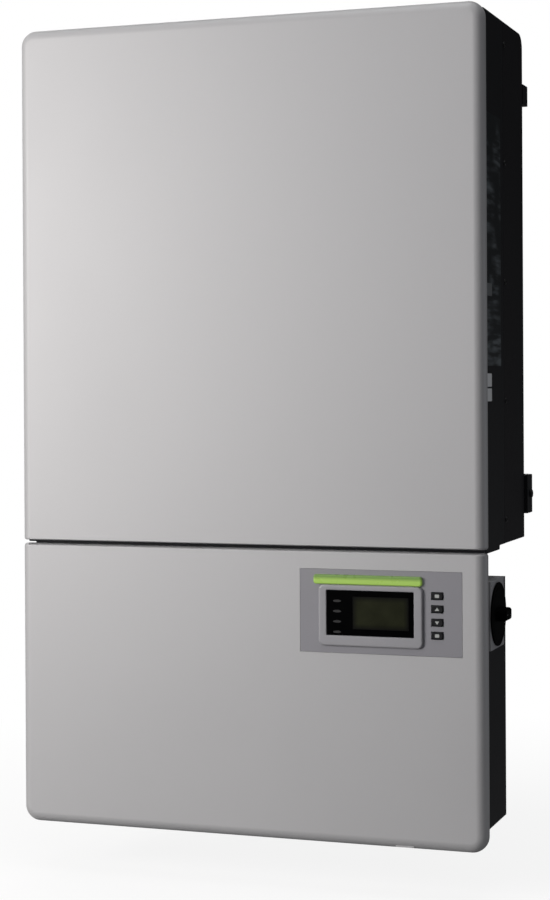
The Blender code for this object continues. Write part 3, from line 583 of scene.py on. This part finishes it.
def finish_piece(thing, body, look, replaces, bevel, segments, cuts=(), smooth_angle=38):
    """Cuts and softens a piece, and gives it its look, its body and the nodes it stands for."""
    for k, bm in enumerate(cuts):
        to_frame(bm)
        tool = new_object(f"{thing.name}_cut_{k}", bm)
        modifier = thing.modifiers.new("cut", "BOOLEAN")
        modifier.solver = "EXACT"
        modifier.object = tool
    if bevel:
        modifier = thing.modifiers.new("soft_edges", "BEVEL")
        modifier.width = bevel * MM
        modifier.segments = segments
        modifier.limit_method = "ANGLE"
        modifier.angle_limit = math.radians(34)
        modifier.use_clamp_overlap = True
        modifier.miter_outer = "MITER_ARC"
    settle(thing, smooth_angle)
    for k in range(len(cuts)):
        bpy.data.objects.remove(bpy.data.objects[f"{thing.name}_cut_{k}"], do_unlink=True)
    thing.data.materials.clear()
    thing.data.materials.append(MATERIALS[look])
    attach(thing, body)
    if replaces:
        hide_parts(*replaces)
    return thing


def piece(name, bm, body, look, replaces=(), bevel=0.0, segments=2, cuts=(), smooth_angle=38):
    to_frame(bm)
    return finish_piece(
        new_object(name, bm), body, look, replaces, bevel, segments, cuts, smooth_angle
    )


NODE_BODY = {
    node: body
    for body, members in frame["record"]["behaviour"]["bodies"].items()
    for node in members
}


def softened(node, look, bevel, segments=2, cuts=(), extra=()):
    """A CAD node's own shape, with its edges rounded as the real sheet or moulding has them."""
    bm = bmesh.new()
    bm.from_mesh(frame["nodes"][node].data)
    bmesh.ops.remove_doubles(bm, verts=bm.verts, dist=0.000002)
    bmesh.ops.dissolve_limit(
        bm, angle_limit=math.radians(0.6), verts=bm.verts, edges=bm.edges,
        use_dissolve_boundaries=False,
    )
    for other in extra:
        to_frame(other)
        part = bpy.data.meshes.new("part")
        other.to_mesh(part)
        other.free()
        bm.from_mesh(part)
        bpy.data.meshes.remove(part)
    thing = new_object(f"{node}_skin", bm)
    return finish_piece(thing, NODE_BODY[node], look, (node,), bevel, segments, cuts)


def finished(nodes, look):
    """A CAD node whose shape is right keeps it and gets a better material."""
    for node in nodes:
        mesh = frame["nodes"][node].data
        mesh.materials.clear()
        mesh.materials.append(MATERIALS[look])


# The light cover and the light door


def pan_loop(x, z, seam_at_top, side_inset, seam_inset, y):
    """A pan's outline at one depth, with round corners away from the seam and tight ones at it."""
    wide = CORNER_RADIUS - side_inset
    tight = max(SEAM_CORNER - seam_inset, 1.0)
    if seam_at_top:
        heights, radii = (z[0] + side_inset, z[1] - seam_inset), (wide, tight)
    else:
        heights, radii = (z[0] + seam_inset, z[1] - side_inset), (tight, wide)
    outline = round_cornered((x[0] + side_inset, x[1] - side_inset), heights, *radii, steps=10)
    return [(a, y, b) for a, b in outline]


def pan_row(wall, angle, front):
    """The two insets and the depth at one step of the rolled edge, outside or one wall inside."""
    roll = EDGE_RADIUS - wall
    bend = 1 - math.cos(angle)
    return wall + roll * bend, wall + SEAM_ROLL * bend, front + wall + roll * (1 - math.sin(angle))


def pan(node, seam_at_top, roll_steps=9):
    """A shallow pressed pan, open at the back, with rolled edges and a nearly sharp seam edge."""
    x, _, z = span(node)
    front, back = span("main_cover")[1]
    quarter = [math.radians(90 * k / roll_steps) for k in range(roll_steps + 1)]
    rows = [pan_row(PAN_WALL, angle, front) for angle in reversed(quarter)]
    for inset in (PAN_WALL, PAN_WALL - BACK_EDGE, BACK_EDGE, 0.0):
        at_edge = inset in (PAN_WALL, 0.0)
        rows.append((inset, inset, back - BACK_EDGE if at_edge else back))
    rows += [pan_row(0.0, angle, front) for angle in quarter]
    return loft([pan_loop(x, z, seam_at_top, *row) for row in rows])


def covers():
    piece(
        "cover_skin", pan("main_cover", seam_at_top=False), "inverter", "light_coat",
        ["main_cover"],
    )
    front = span("main_cover")[1][0]
    film_x, film_y, film_z = span("keypad_overlay")
    module_x, _, module_z = span("display_module")
    screw_x, screw_y, _ = span("door_screw")
    centre = (middle(screw_x), middle(screw_y))
    recess = (screw_x[1] - screw_x[0]) / 2 + 0.4
    key_spans = [span(f"key_{k}") for k in range(1, 5)]
    behind = front + 9
    beside, above = DISPLAY_MARGIN
    cuts = [
        block(grown(film_x, GAP), (front - 2, film_y[1] + GAP), grown(film_z, GAP)),
        block(grown(module_x, beside), (front - 4, behind), grown(module_z, above)),
        gather(block(grown(x, 0.4), (front - 3, behind), grown(z, 0.4)) for x, _, z in key_spans),
        turned("Z", centre, [(SHANK_HOLE, -2), (SHANK_HOLE, BOSS_HEIGHTS[1] + 3)], 24),
        turned("Z", centre, [(recess, -2), (recess, RECESS_DEPTH)], 24),
    ]
    boss = block(grown((centre[0], centre[0]), BOSS_HALF), BOSS_DEPTHS, BOSS_HEIGHTS)
    skin = pan("wiring_door", seam_at_top=True)
    to_frame(boss)
    boss_tool = new_object("boss_tool", boss)
    to_frame(skin)
    thing = new_object("door_skin", skin)
    modifier = thing.modifiers.new("boss", "BOOLEAN")
    modifier.operation = "UNION"
    modifier.solver = "EXACT"
    modifier.object = boss_tool
    finish_piece(thing, "door", "light_coat", ["wiring_door"], 0.0, 2, cuts)
    bpy.data.objects.remove(boss_tool, do_unlink=True)


# The dark enclosure


def enclosure():
    softened("main_chassis", "black_coat", 1.1)
    softened("rear_shroud", "cast_coat", 1.1)
    softened("wiring_box", "black_coat", 1.0)
    softened("bulkhead_neck", "black_coat", 0.8)
    for word in SIDES:
        softened(f"upper_hanger_{word}", "black_coat", 0.7)
        softened(f"lower_foot_{word}", "black_coat", 0.9)
    finished(["main_gasket", "wiring_gasket"], "black_rubber")


def labels():
    """Two blank plates and a dark film on the right side, with no lettering."""
    right = span("main_chassis")[0][1]
    front = span("main_chassis")[1][0] + 7.6
    plates = {
        "side_label_lower": (31.0, (530.0, 545.3), "label_film"),
        "side_label_upper": (31.0, (547.3, 563.0), "label_film"),
        "side_label_middle": (34.0, (655.0, 670.0), "faint_film"),
        "side_film": (82.0, (572.0, 872.0), "dark_film"),
    }
    for name, (width, z, look) in plates.items():
        y = (front, front + width)
        lift = 0.25 if name == "side_film" else 0.45
        loops = [
            [(right + level, a, b) for a, b in rounded(y, z, 1.5, inset, 3)]
            for level, inset in ((-0.2, 0.0), (lift - 0.1, 0.0), (lift, 0.1))
        ]
        piece(name, loft(loops), "inverter", look)


def outlet_slats():
    """Slanted slats across the four air outlets in the top."""
    top = span("rear_shroud")[2][1]
    low, high = top - 3.4, top - 0.6
    slats = []
    for centre in OUTLET_CENTRES:
        for k in range(SLAT_COUNT):
            y = SLAT_START + SLAT_PITCH * k
            outline = [(y - 2.6, low), (y - 1.2, low), (y + 2.6, high), (y + 1.2, high)]
            slats.append(prism("X", outline, *grown((centre, centre), SLAT_HALF_LENGTH)))
    piece("outlet_slats", gather(slats), "inverter", "cast_coat", bevel=0.25)


def shroud_details():
    """Pan-head screws round the shroud, and two pressed ribs on its back."""
    x, y, _ = span("rear_shroud")
    radius, height = 3.6, 1.9
    heads = []
    for side in SIDES.values():
        for z in (385.0, 530.0, 675.0, 820.0, 965.0):
            heads.append(bolt("X", (y[0] + 7.0, z), radius, side * x[1], side, height))
        for z in (376.0, 520.0, 670.0, 820.0, 958.0):
            heads.append(bolt("Y", (side * 283.0, z), radius, y[1], 1, height))
    piece("shroud_screws", gather(heads), "inverter", "black_screw", smooth_angle=50)
    half, heights = 13.0, (440.0, 862.0)
    ribs = []
    for centre in (-85.0, 85.0):
        ribs.append(loft([
            [(a, y[1] + level, b)
             for a, b in rounded(grown((centre, centre), half), heights, half, inset)]
            for level, inset in ((-0.3, 0.0), (0.1, 0.1), (1.3, 1.2), (1.9, 2.8))
        ]))
    piece("shroud_ribs", gather(ribs), "inverter", "cast_coat", smooth_angle=60)


def cooling():
    for word in ("left", "middle", "right"):
        softened(f"fan_housing_{word}", "fan_black", 0.8)
        softened(f"fan_rotor_{word}", "fan_black", 0.35)
    softened("fan_guard", "galvanised_steel", 0.3)
    x, y, z = span("fan_guard")
    corners = [
        (a, b) for a in (x[0] + 6, -65.0, 65.0, x[1] - 6) for b in (y[0] + 6, y[1] - 6)
    ]
    piece(
        "guard_screws", gather(bolt("Z", at, 3.2, z[0], -1, 1.8) for at in corners),
        "inverter", "screw_steel", smooth_angle=50,
    )


def cap_screw(node, axis, centre, shaft, head, levels, look="screw_steel"):
    """A socket-head screw: levels are the shaft's end, the head's seat and the head's face."""
    end, seat, face = levels
    out = math.copysign(1.0, face - seat)
    socket = head * 0.46
    piece(
        f"{node}_turned",
        turned(axis, centre, [
            (shaft * 0.7, end), (shaft, end + out), (shaft, seat), (head * 0.96, seat),
            (head, seat + 0.3 * out), (head, face - 0.7 * out), (head * 0.93, face - 0.2 * out),
            (head * 0.82, face), (socket, face, "hex"),
            (socket * 0.96, (seat + face) / 2, "hex"),
        ], sides=36),
        NODE_BODY[node], look, [node], smooth_angle=50,
    )


def mounting():
    for rail in ("upper", "lower"):
        softened(f"bracket_{rail}_rail", "galvanised_steel", 0.6)
    for word, side in SIDES.items():
        softened(f"bracket_upright_{word}", "galvanised_steel", 0.5)
        x, y, z = span(f"security_screw_{word}")
        face, end = (x[0], x[1]) if side < 0 else (x[1], x[0])
        cap_screw(
            f"security_screw_{word}", "X", (middle(y), middle(z)), 2.6, 5.0,
            (end, face - side * 2.7, face), "black_screw",
        )


def conduit_fittings():
    seat = BOX_FLOOR[0] - GAP
    nut = (BOX_FLOOR[1] + GAP, BOX_FLOOR[1] + 5.0)
    for node, flange, thread in (("dc_conduit_plug", 31.0, 25.2), ("ac_conduit_plug", 37.0, 30.7)):
        x, y, z = span(node)
        low = z[0]
        piece(
            f"{node}_turned",
            turned("Z", (middle(x), middle(y)), [
                (flange * 0.5, low + 2.2), (flange * 0.62, low + 2.0), (flange * 0.66, low + 0.4),
                (flange * 0.7, low), (flange * 0.93, low), (flange * 0.97, low + 0.5),
                (flange - 0.6, low + 2.0), (flange - 0.6, seat - 2.2), (flange, seat - 1.8),
                (flange, seat), (thread, seat), (thread, nut[0]), (flange * 0.92, nut[0], "hex"),
                (flange * 0.92, nut[1], "hex"), (thread, nut[1]), (thread, z[1] - 0.6),
                (thread - 0.8, z[1]), (thread - 3.5, z[1]), (thread - 3.5, nut[0] - 1.3),
            ], sides=72),
            "inverter", "plug_grey", [node], smooth_angle=30,
        )
    x, y, z = span("signal_gland")
    low = z[0]
    cap = [(4.2, low + 2.5), (4.4, low + 0.6), (5.6, low), (8.0, low), (11.0, low + 1.6),
           (12.6, low + 4.2), (13.2, low + 7.0)]
    piece(
        "signal_gland_turned",
        turned("Z", (middle(x), middle(y)), cap + [
            (13.4, low + 9.5, "hex"), (13.4, low + 12.0, "hex"), (12.0, low + 12.3),
            (12.0, low + 12.9), (13.8, low + 13.1, "hex"), (13.8, seat, "hex"), (12.2, seat),
            (12.2, nut[0]), (12.6, nut[0], "hex"), (12.6, nut[1], "hex"), (12.2, nut[1]),
            (12.2, z[1]), (9.0, z[1]), (9.0, nut[0] - 1.3),
        ], sides=72),
        "inverter", "plug_grey", ["signal_gland"], smooth_angle=30,
    )


def repaint(thing, look, test):
    """Gives part of a piece another material: the faces whose centre, in millimetres, passes."""
    thing.data.materials.append(MATERIALS[look])
    last = len(thing.data.materials) - 1
    for face in thing.data.polygons:
        at = face.center
        if test(at.x / MM, at.y / MM, (at.z - LOWER_EDGE) / MM):
            face.material_index = last


def comb_centres(node, count, gap):
    """The middles of a comb-shaped node's teeth along x, and how far forward their faces are."""
    (left, right), (face, _), _ = span(node)
    pitch = (right - left + gap) / count
    return [left + pitch * k + (pitch - gap) / 2 for k in range(count)], face


def front_screws(name, places, radius, seat, height, look="screw_steel"):
    """Screw heads that face forward, at (x, z) places inside the wiring box."""
    heads = gather(bolt("Y", at, radius, seat, -1, height) for at in places)
    piece(name, heads, "inverter", look, smooth_angle=50)


def fuses_and_arresters():
    screw_heights = (187.0, 255.0)
    softened("dc_fuse_block", "module_black", 0.7)
    centres, face = comb_centres("dc_fuse_block", 12, 2.5)
    piece("fuse_carrier_lips", gather(
        prism("X", [(face + 1, 214), (face - 2.4, 216), (face - 2.4, 219), (face + 1, 230)],
              at - 4.2, at + 4.2) for at in centres
    ), "inverter", "module_black", bevel=0.5)
    places = [(at, height) for at in centres for height in screw_heights]
    front_screws("fuse_terminal_screws", places, 2.7, face, 1.3)
    piece("fuse_indicators", gather(
        turned("Y", (at, 241.0), [(1.5, face + 0.5), (1.5, face - 0.3), (1.1, face - 0.7)], 16)
        for at in centres
    ), "inverter", "key_mark")

    softened("surge_arresters", "arrester_red", 0.9)
    centres, face = comb_centres("surge_arresters", 4, 1.0)
    piece("arrester_windows", gather(
        loft([[(a, level, b) for a, b in rounded((at - 3.5, at + 3.5), (232, 240), 1.2, inset, 3)]
              for level, inset in ((face + 0.4, 0.0), (face - 0.3, 0.0), (face - 0.5, 0.4))])
        for at in centres
    ), "inverter", "terminal_green")
    places = [(at, height) for at in centres for height in screw_heights]
    front_screws("arrester_screws", places, 3.0, face, 1.3)


def terminals():
    softened("ac_terminal_block", "module_black", 0.8)
    x, y, z = span("ac_terminal_block")
    seat = y[0] + 14.0
    places = [(x[0] + 16.5 + 33.0 * k, middle(z)) for k in range(5)]
    front_screws("ac_terminal_screws", places, 4.9, seat, 4.0, "ground_brass")

    softened("ground_bar", "ground_brass", 0.5)
    x, y, z = span("ground_bar")
    places = [(x[0] + 9.0 + 12.9 * k, middle(z)) for k in range(12)]
    front_screws("ground_bar_screws", places, 4.0, y[0], 3.0)


def chips(name, body, sizes, board_face, outward):
    """Packages on a board: sizes has an (x, z) area and a height for each."""
    piece(name, gather(
        block(x, sorted((board_face - 0.1 * outward, board_face + height * outward)), z)
        for (x, z), height in sizes.items()
    ), body, "module_black", bevel=0.2)


def communication():
    board = softened("communication_board", "board_green", 0.25)
    face, back = COMMUNICATION_BOARD
    repaint(board, "terminal_green", lambda x, y, z: y < face - 0.4 and z < 110)
    repaint(board, "bare_aluminium", lambda x, y, z: y < face - 0.4 and z > 140)
    repaint(board, "screw_steel", lambda x, y, z: y > back + 0.2)
    chips("communication_chips", "inverter", {
        ((244, 260), (152, 168)): 2.2, ((204, 214), (118, 132)): 1.6,
        ((222, 236), (116, 130)): 1.9, ((246, 256), (184, 190)): 1.6,
        ((206, 226), (188, 196)): 2.4, ((248, 268), (120, 126)): 1.6,
    }, face, -1)
    connector_face = span("communication_board")[1][0]
    places = [(214.0 + 6.3 * k, 96.0) for k in range(8)]
    front_screws("communication_terminal_screws", places, 1.7, connector_face, 0.8)


def disconnect_poles():
    softened("disconnect_body", "module_black", 0.9)
    x, y, z = span("disconnect_body")
    places = [
        (x[0] + 10.0 + POLE_PITCH * k, height) for k in range(4) for height in (z[0] + 8, z[1] - 8)
    ]
    front_screws("disconnect_terminal_screws", places, 4.0, y[0], 1.8)
    walls = [x[0] + POLE_PITCH * k for k in range(1, 4)]
    piece("disconnect_phase_ribs", gather(
        block((wall, wall + 1.6), (y[0] - 2.0, y[0] + 0.5), grown(z, -1)) for wall in walls
    ), "inverter", "module_black", bevel=0.3)


def power_parts():
    finished(["power_board", "control_board"], "board_green")
    finished(["power_module_a", "power_module_b", "power_module_c"], "module_black")
    finished(["link_capacitor_bank"], "capacitor_can")
    finished(
        ["boost_choke_left", "boost_choke_right", "output_choke", "heat_sink"], "bare_aluminium"
    )


def disconnect_knob():
    """A thin dial with a raised rim, a short grip across it and a shaft behind, on its plate."""
    softened("disconnect_plate", "plate_grey", 0.6)
    plate_x, plate_y, plate_z = span("disconnect_plate")
    plate_face = plate_x[1]
    x, y, z = span("disconnect_knob")
    centre = (middle(y), middle(z))
    radius, shaft = (z[1] - z[0]) / 2, SHAFT_RADIUS
    seat = plate_face + GAP
    dial = seat + DIAL_THICKNESS
    piece("disconnect_dial", turned("X", centre, [
        (shaft - 0.7, x[0]), (shaft, x[0] + 0.8), (shaft, seat), (radius - 0.5, seat),
        (radius, seat + 0.5), (radius, dial - 0.8), (radius - 0.4, dial - 0.25),
        (radius - 1.2, dial), (radius - 4.4, dial), (radius - 4.9, dial - 0.5),
        (radius - 6.0, dial - 0.5), (radius - 6.5, dial), (shaft, dial),
    ], sides=72), "disconnect_rotor", "knob_black", ["disconnect_knob"], smooth_angle=50)
    height = x[1] - dial
    levels = ((-0.2, -0.9), (0.6, -0.35), (1.8, 0.0), (height - 3.0, 0.3), (height - 1.2, 0.9),
              (height - 0.3, 1.9), (height, 3.2))
    piece("disconnect_grip", loft([
        [(dial + level, a, b) for a, b in rounded(
            grown((centre[0], centre[0]), GRIP_LENGTH / 2 - 0.9),
            grown((centre[1], centre[1]), GRIP_WIDTH / 2), 4.5, inset, 6)]
        for level, inset in levels
    ]), "disconnect_rotor", "knob_black", smooth_angle=50)
    front = centre[0] - GRIP_LENGTH / 2
    piece("disconnect_pointer", block(
        (x[1] - 0.8, x[1] + 0.04), (front + 4.5, front + 11.5), (centre[1] - 0.7, centre[1] + 0.7)
    ), "disconnect_rotor", "status_mark", bevel=0.1)
    level = (plate_z[1] - 5.6, plate_z[1] - 4.6)
    ticks = [
        block((plate_face - 0.2, plate_face + 0.12), depths, level)
        for depths in ((plate_y[0] + 2.0, plate_y[0] + 5.5), (plate_y[1] - 5.5, plate_y[1] - 2.0))
    ]
    piece("disconnect_ticks", gather(ticks), "inverter", "faint_film")


def rolled_edge(back, front, roll):
    """Insets and depths from a piece's back to its face, with a quarter-round edge."""
    rows = [(0.0, back), (0.0, front + roll)]
    for k in range(1, 6):
        angle = math.radians(18 * k)
        rows.append((roll * (1 - math.cos(angle)), front + roll * (1 - math.sin(angle))))
    return rows


def keypad():
    film_x, film_y, film_z = span("keypad_overlay")
    module_x, _, module_z = span("display_module")
    through = grown(film_y, 2)
    beside, above = DISPLAY_MARGIN
    holes = [block(grown(module_x, beside), through, grown(module_z, above))]
    for number in range(1, 5):
        key_x, _, key_z = span(f"key_{number}")
        holes.append(block(grown(key_x, GAP), through, grown(key_z, GAP)))
    film = loft([
        [(a, level, b) for a, b in rounded(film_x, film_z, 1.2, inset, 4)]
        for inset, level in (
            (0.0, film_y[1]), (0.0, film_y[0] + 0.25), (0.08, film_y[0] + 0.08), (0.25, film_y[0])
        )
    ])
    piece("keypad_film", film, "door", "panel_film", ["keypad_overlay"], cuts=[gather(holes)])


def display():
    """The frame, the window with the lit area let into it, the status marks and the light bar."""
    x, (front, back), z = span("display_bezel")
    window_x, window_y, window_z = span("display_window")
    loops = [[(a, level, b) for a, b in rounded(x, z, 7.0, inset)]
             for inset, level in rolled_edge(back, front, 2.4)]
    opening = (grown(window_x, GAP), grown(window_z, GAP))
    lip = ((-1.0, front), (-0.4, front + 0.25), (0.0, front + 0.9), (0.0, back))
    loops += [[(a, level, b) for a, b in rounded(*opening, 1.2, inset)] for inset, level in lip]
    piece("bezel_frame", loft(loops, ring=True), "door", "bezel_grey", ["display_bezel"],
          smooth_angle=50)

    front = window_y[0]
    rows = [
        (window_x, window_z, 1.0, 0.0, window_y[1]), (window_x, window_z, 1.0, 0.0, front + 0.3),
        (window_x, window_z, 1.0, 0.3, front), (*LCD_VIEW, 1.0, 0.0, front),
        (*LCD_VIEW, 1.0, 0.1, front + 0.7),
    ]
    piece("window_pane", loft([
        [(a, level, b) for a, b in rounded(wide, high, radius, inset)]
        for wide, high, radius, inset, level in rows
    ]), "door", "smoked_window", ["display_window"])
    piece("crystal_pane", loft([
        [(a, level, b) for a, b in rounded(*LCD_VIEW, 1.0, inset)]
        for inset, level in ((0.2, front + 0.68), (0.15, front + 0.3), (0.35, front + 0.12))
    ]), "door", "display_glass")
    round_angles = [2 * math.pi * k / 28 for k in range(28)]
    marks = [
        loft([
            [(MARK_X + reach * 5.0 * math.cos(t), level, height + reach * 1.5 * math.sin(t))
             for t in round_angles]
            for reach, level in ((1.0, front + 0.2), (1.0, front - 0.08), (0.85, front - 0.14))
        ])
        for height in MARK_HEIGHTS
    ]
    piece("status_marks", gather(marks), "door", "status_mark")

    x, y, z = span("status_light_bar")
    piece("light_bar_guide", loft([
        [(a, level, b) for a, b in rounded(x, z, 3.2, inset)]
        for inset, level in rolled_edge(y[1], y[0], 2.0)
    ]), "door", "green_light", ["status_light_bar"], smooth_angle=50)


def keys():
    """Four keys with generic signs: a square, an up and a down triangle, and a square."""
    square = rounded((-2.6, 2.6), (-2.0, 2.0), 0.9, 0, 3)
    up = [(-2.6, -1.7), (2.6, -1.7), (0.0, 2.2)]
    down = [(-2.6, 1.7), (0.0, -2.2), (2.6, 1.7)]
    shapes = {1: square, 2: up, 3: down, 4: square}
    for number, shape in shapes.items():
        x, y, z = span(f"key_{number}")
        body = f"key_{number}_body"
        piece(f"key_{number}_cap", loft([
            [(a, level, b) for a, b in rounded(x, z, 3.6, inset)]
            for inset, level in ((0.0, y[1]), (0.0, y[0] + 0.8), (0.25, y[0] + 0.25),
                                 (0.8, y[0]), (1.8, y[0] + 0.05), (3.2, y[0] + 0.16))
        ]), body, "key_black", [f"key_{number}"], smooth_angle=50)
        centre = (middle(x), middle(z))
        piece(f"key_{number}_mark", prism(
            "Y", [(centre[0] + a, centre[1] + b) for a, b in shape], y[0] + 0.6, y[0] + 0.02
        ), body, "key_mark")


def display_inside():
    board = softened("display_board", "board_green", 0.2)
    back = DISPLAY_BOARD_BACK
    repaint(board, "module_black", lambda x, y, z: y > back + 0.4)
    chips("display_chips", "door", {
        ((168, 182), (268, 282)): 1.4, ((196, 204), (285, 297)): 1.1, ((92, 104), (296, 302)): 1.1,
        ((210, 218), (250, 258)): 1.1, ((228, 256), (300, 308)): 2.1,
    }, back, 1)
    softened("display_module", "module_black", 0.4)


def hinge():
    softened("hinge_leaf_box", "galvanised_steel", 0.3)
    softened("hinge_leaf_door", "galvanised_steel", 0.3)
    x, y, z = span("hinge_pin")
    radius = (x[1] - x[0]) / 2
    piece("hinge_pin_turned", turned("Z", (middle(x), middle(y)), [
        (radius * 0.6, z[0]), (radius, z[0] + 0.6), (radius, z[1] - 0.6), (radius * 0.6, z[1]),
    ], sides=24), "inverter", "screw_steel", ["hinge_pin"], smooth_angle=50)
    x, y, z = span("door_screw")
    head = (x[1] - x[0]) / 2
    cap_screw("door_screw", "Z", (middle(x), middle(y)), 2.6, head, (z[1], 5.7, z[0]))


def build():
    """Every piece of the object."""
    covers()
    enclosure()
    labels()
    outlet_slats()
    shroud_details()
    cooling()
    mounting()
    conduit_fittings()
    fuses_and_arresters()
    terminals()
    communication()
    disconnect_poles()
    power_parts()
    disconnect_knob()
    hinge()
    keypad()
    display()
    keys()
    display_inside()


build()

# Camera, lights and floor


# name: place, aim, size, watts, colour
LIGHTS = {
    "key_light": ((-1.25, -1.75, -0.1), (0.0, -0.26, -0.3), (0.8, 1.2), 36.0, (1.0, 0.972, 0.94)),
    "front_fill": ((-0.7, -4.0, 0.3), (0.0, -0.2, -0.45), (1.6, 2.2), 14.0, (0.9, 0.91, 1.0)),
    "back_fill": ((-1.4, 2.6, 1.0), (0.0, 0.0, -0.4), (2.0, 2.0), 45.0, (1.0, 1.0, 1.0)),
    "top_light": ((0.2, -0.5, 2.2), (0.0, -0.1, 0.0), (2.2, 1.8), 26.0, (1.0, 1.0, 1.0)),
    "right_fill": ((2.2, 0.8, -0.6), (0.3, -0.1, -0.6), (1.0, 1.0), 4.0, (0.9, 0.93, 1.0)),
}


def aim_camera(place, yaw, pitch, roll, lens, shift):
    scene = bpy.context.scene
    forward = Vector((
        -math.sin(yaw) * math.cos(pitch), math.cos(yaw) * math.cos(pitch), math.sin(pitch)
    ))
    right = Vector((math.cos(yaw), math.sin(yaw), 0.0))
    up = right.cross(forward)
    turned_right = math.cos(roll) * right + math.sin(roll) * up
    turned_up = math.cos(roll) * up - math.sin(roll) * right
    camera = bpy.data.objects.new("camera", bpy.data.cameras.new("camera"))
    scene.collection.objects.link(camera)
    camera.data.sensor_width = 36.0
    camera.data.lens = lens
    camera.data.shift_x, camera.data.shift_y = shift
    rotation = Matrix((turned_right, turned_up, -forward)).transposed().to_4x4()
    camera.matrix_world = Matrix.Translation(place) @ rotation
    scene.camera = camera


def area_light(name, place, aim, size, watts, colour):
    light = bpy.data.objects.new(name, bpy.data.lights.new(name, "AREA"))
    light.data.shape = "RECTANGLE"
    light.data.size, light.data.size_y = size
    light.data.energy = watts
    light.data.color = colour
    bpy.context.scene.collection.objects.link(light)
    light.location = place
    direction = Vector(aim) - Vector(place)
    light.rotation_euler = direction.to_track_quat("-Z", "Y").to_euler()


def plain_background(tree, light_strength):
    """White to the camera, and dimmer as a light."""
    path = tree.nodes.new("ShaderNodeLightPath")
    strength = tree.nodes.new("ShaderNodeMapRange")
    strength.inputs["To Max"].default_value = 1.0
    if isinstance(light_strength, float):
        strength.inputs["To Min"].default_value = light_strength
    else:
        tree.links.new(light_strength, strength.inputs["To Min"])
    tree.links.new(path.outputs["Is Camera Ray"], strength.inputs["Value"])
    return strength.outputs["Result"]


def surroundings():
    """White all round to the camera; as a light it is brighter at the left."""
    world = bpy.data.worlds.new("studio")
    bpy.context.scene.world = world
    world.use_nodes = True
    tree = world.node_tree
    direction = tree.nodes.new("ShaderNodeTexCoord").outputs["Generated"]
    leftwards = tree.nodes.new("ShaderNodeVectorMath")
    leftwards.operation = "DOT_PRODUCT"
    leftwards.inputs[1].default_value = (-0.8, -0.5, 0.33)
    tree.links.new(direction, leftwards.inputs[0])
    glow_level = tree.nodes.new("ShaderNodeMapRange")
    for socket, value in (("From Min", -0.6), ("From Max", 0.8), ("To Min", 0.015), ("To Max", 0.22)):
        glow_level.inputs[socket].default_value = value
    tree.links.new(leftwards.outputs["Value"], glow_level.inputs["Value"])
    sky = tree.nodes["Background"]
    sky.inputs["Color"].default_value = (1, 1, 1, 1)
    tree.links.new(
        plain_background(tree, glow_level.outputs["Result"]), sky.inputs["Strength"]
    )


def pale_floor():
    """Fades into the background away from the object, and is clear from below."""
    bm = bmesh.new()
    bmesh.ops.create_grid(bm, x_segments=1, y_segments=1, size=30.0)
    floor = new_object("floor", bm)
    floor.location = (0, 0, LOWER_EDGE - 0.06)
    ground = Nodes("pale_floor")
    tree = ground.tree
    ground.set(
        Base_Color=ground.blend(ground.noise(2.0, 3.0), (0.9, 0.9, 0.9, 1), (0.93, 0.93, 0.93, 1)),
        Roughness=0.8,
        Specular_IOR_Level=0.1,
    )
    reach = ground.add("ShaderNodeVectorMath", {0: ground.place}, operation="LENGTH")
    glow = ground.add("ShaderNodeEmission", {"Strength": plain_background(tree, 0.1)})
    fade = ground.add("ShaderNodeMixShader", {
        0: ground.between(reach.outputs["Value"], 0.84, 1.0, 0.35, 1.1),
        1: ground.shader.outputs[0], 2: glow.outputs[0],
    })
    one_sided = ground.add("ShaderNodeMixShader", {
        0: ground.add("ShaderNodeNewGeometry").outputs["Backfacing"],
        1: fade.outputs[0], 2: ground.add("ShaderNodeBsdfTransparent").outputs[0],
    })
    tree.links.new(one_sided.outputs[0], tree.nodes["Material Output"].inputs["Surface"])
    floor.data.materials.append(ground.material)


def studio():
    bpy.context.scene.view_settings.view_transform = "Standard"
    aim_camera((0.8458, -2.565, -0.3639), yaw=0.34428, pitch=-0.0037, roll=-0.00535,
               lens=80.8, shift=(0.0191, -0.067))
    for name, light in LIGHTS.items():
        area_light(name, *light)
    surroundings()
    pale_floor()


studio()
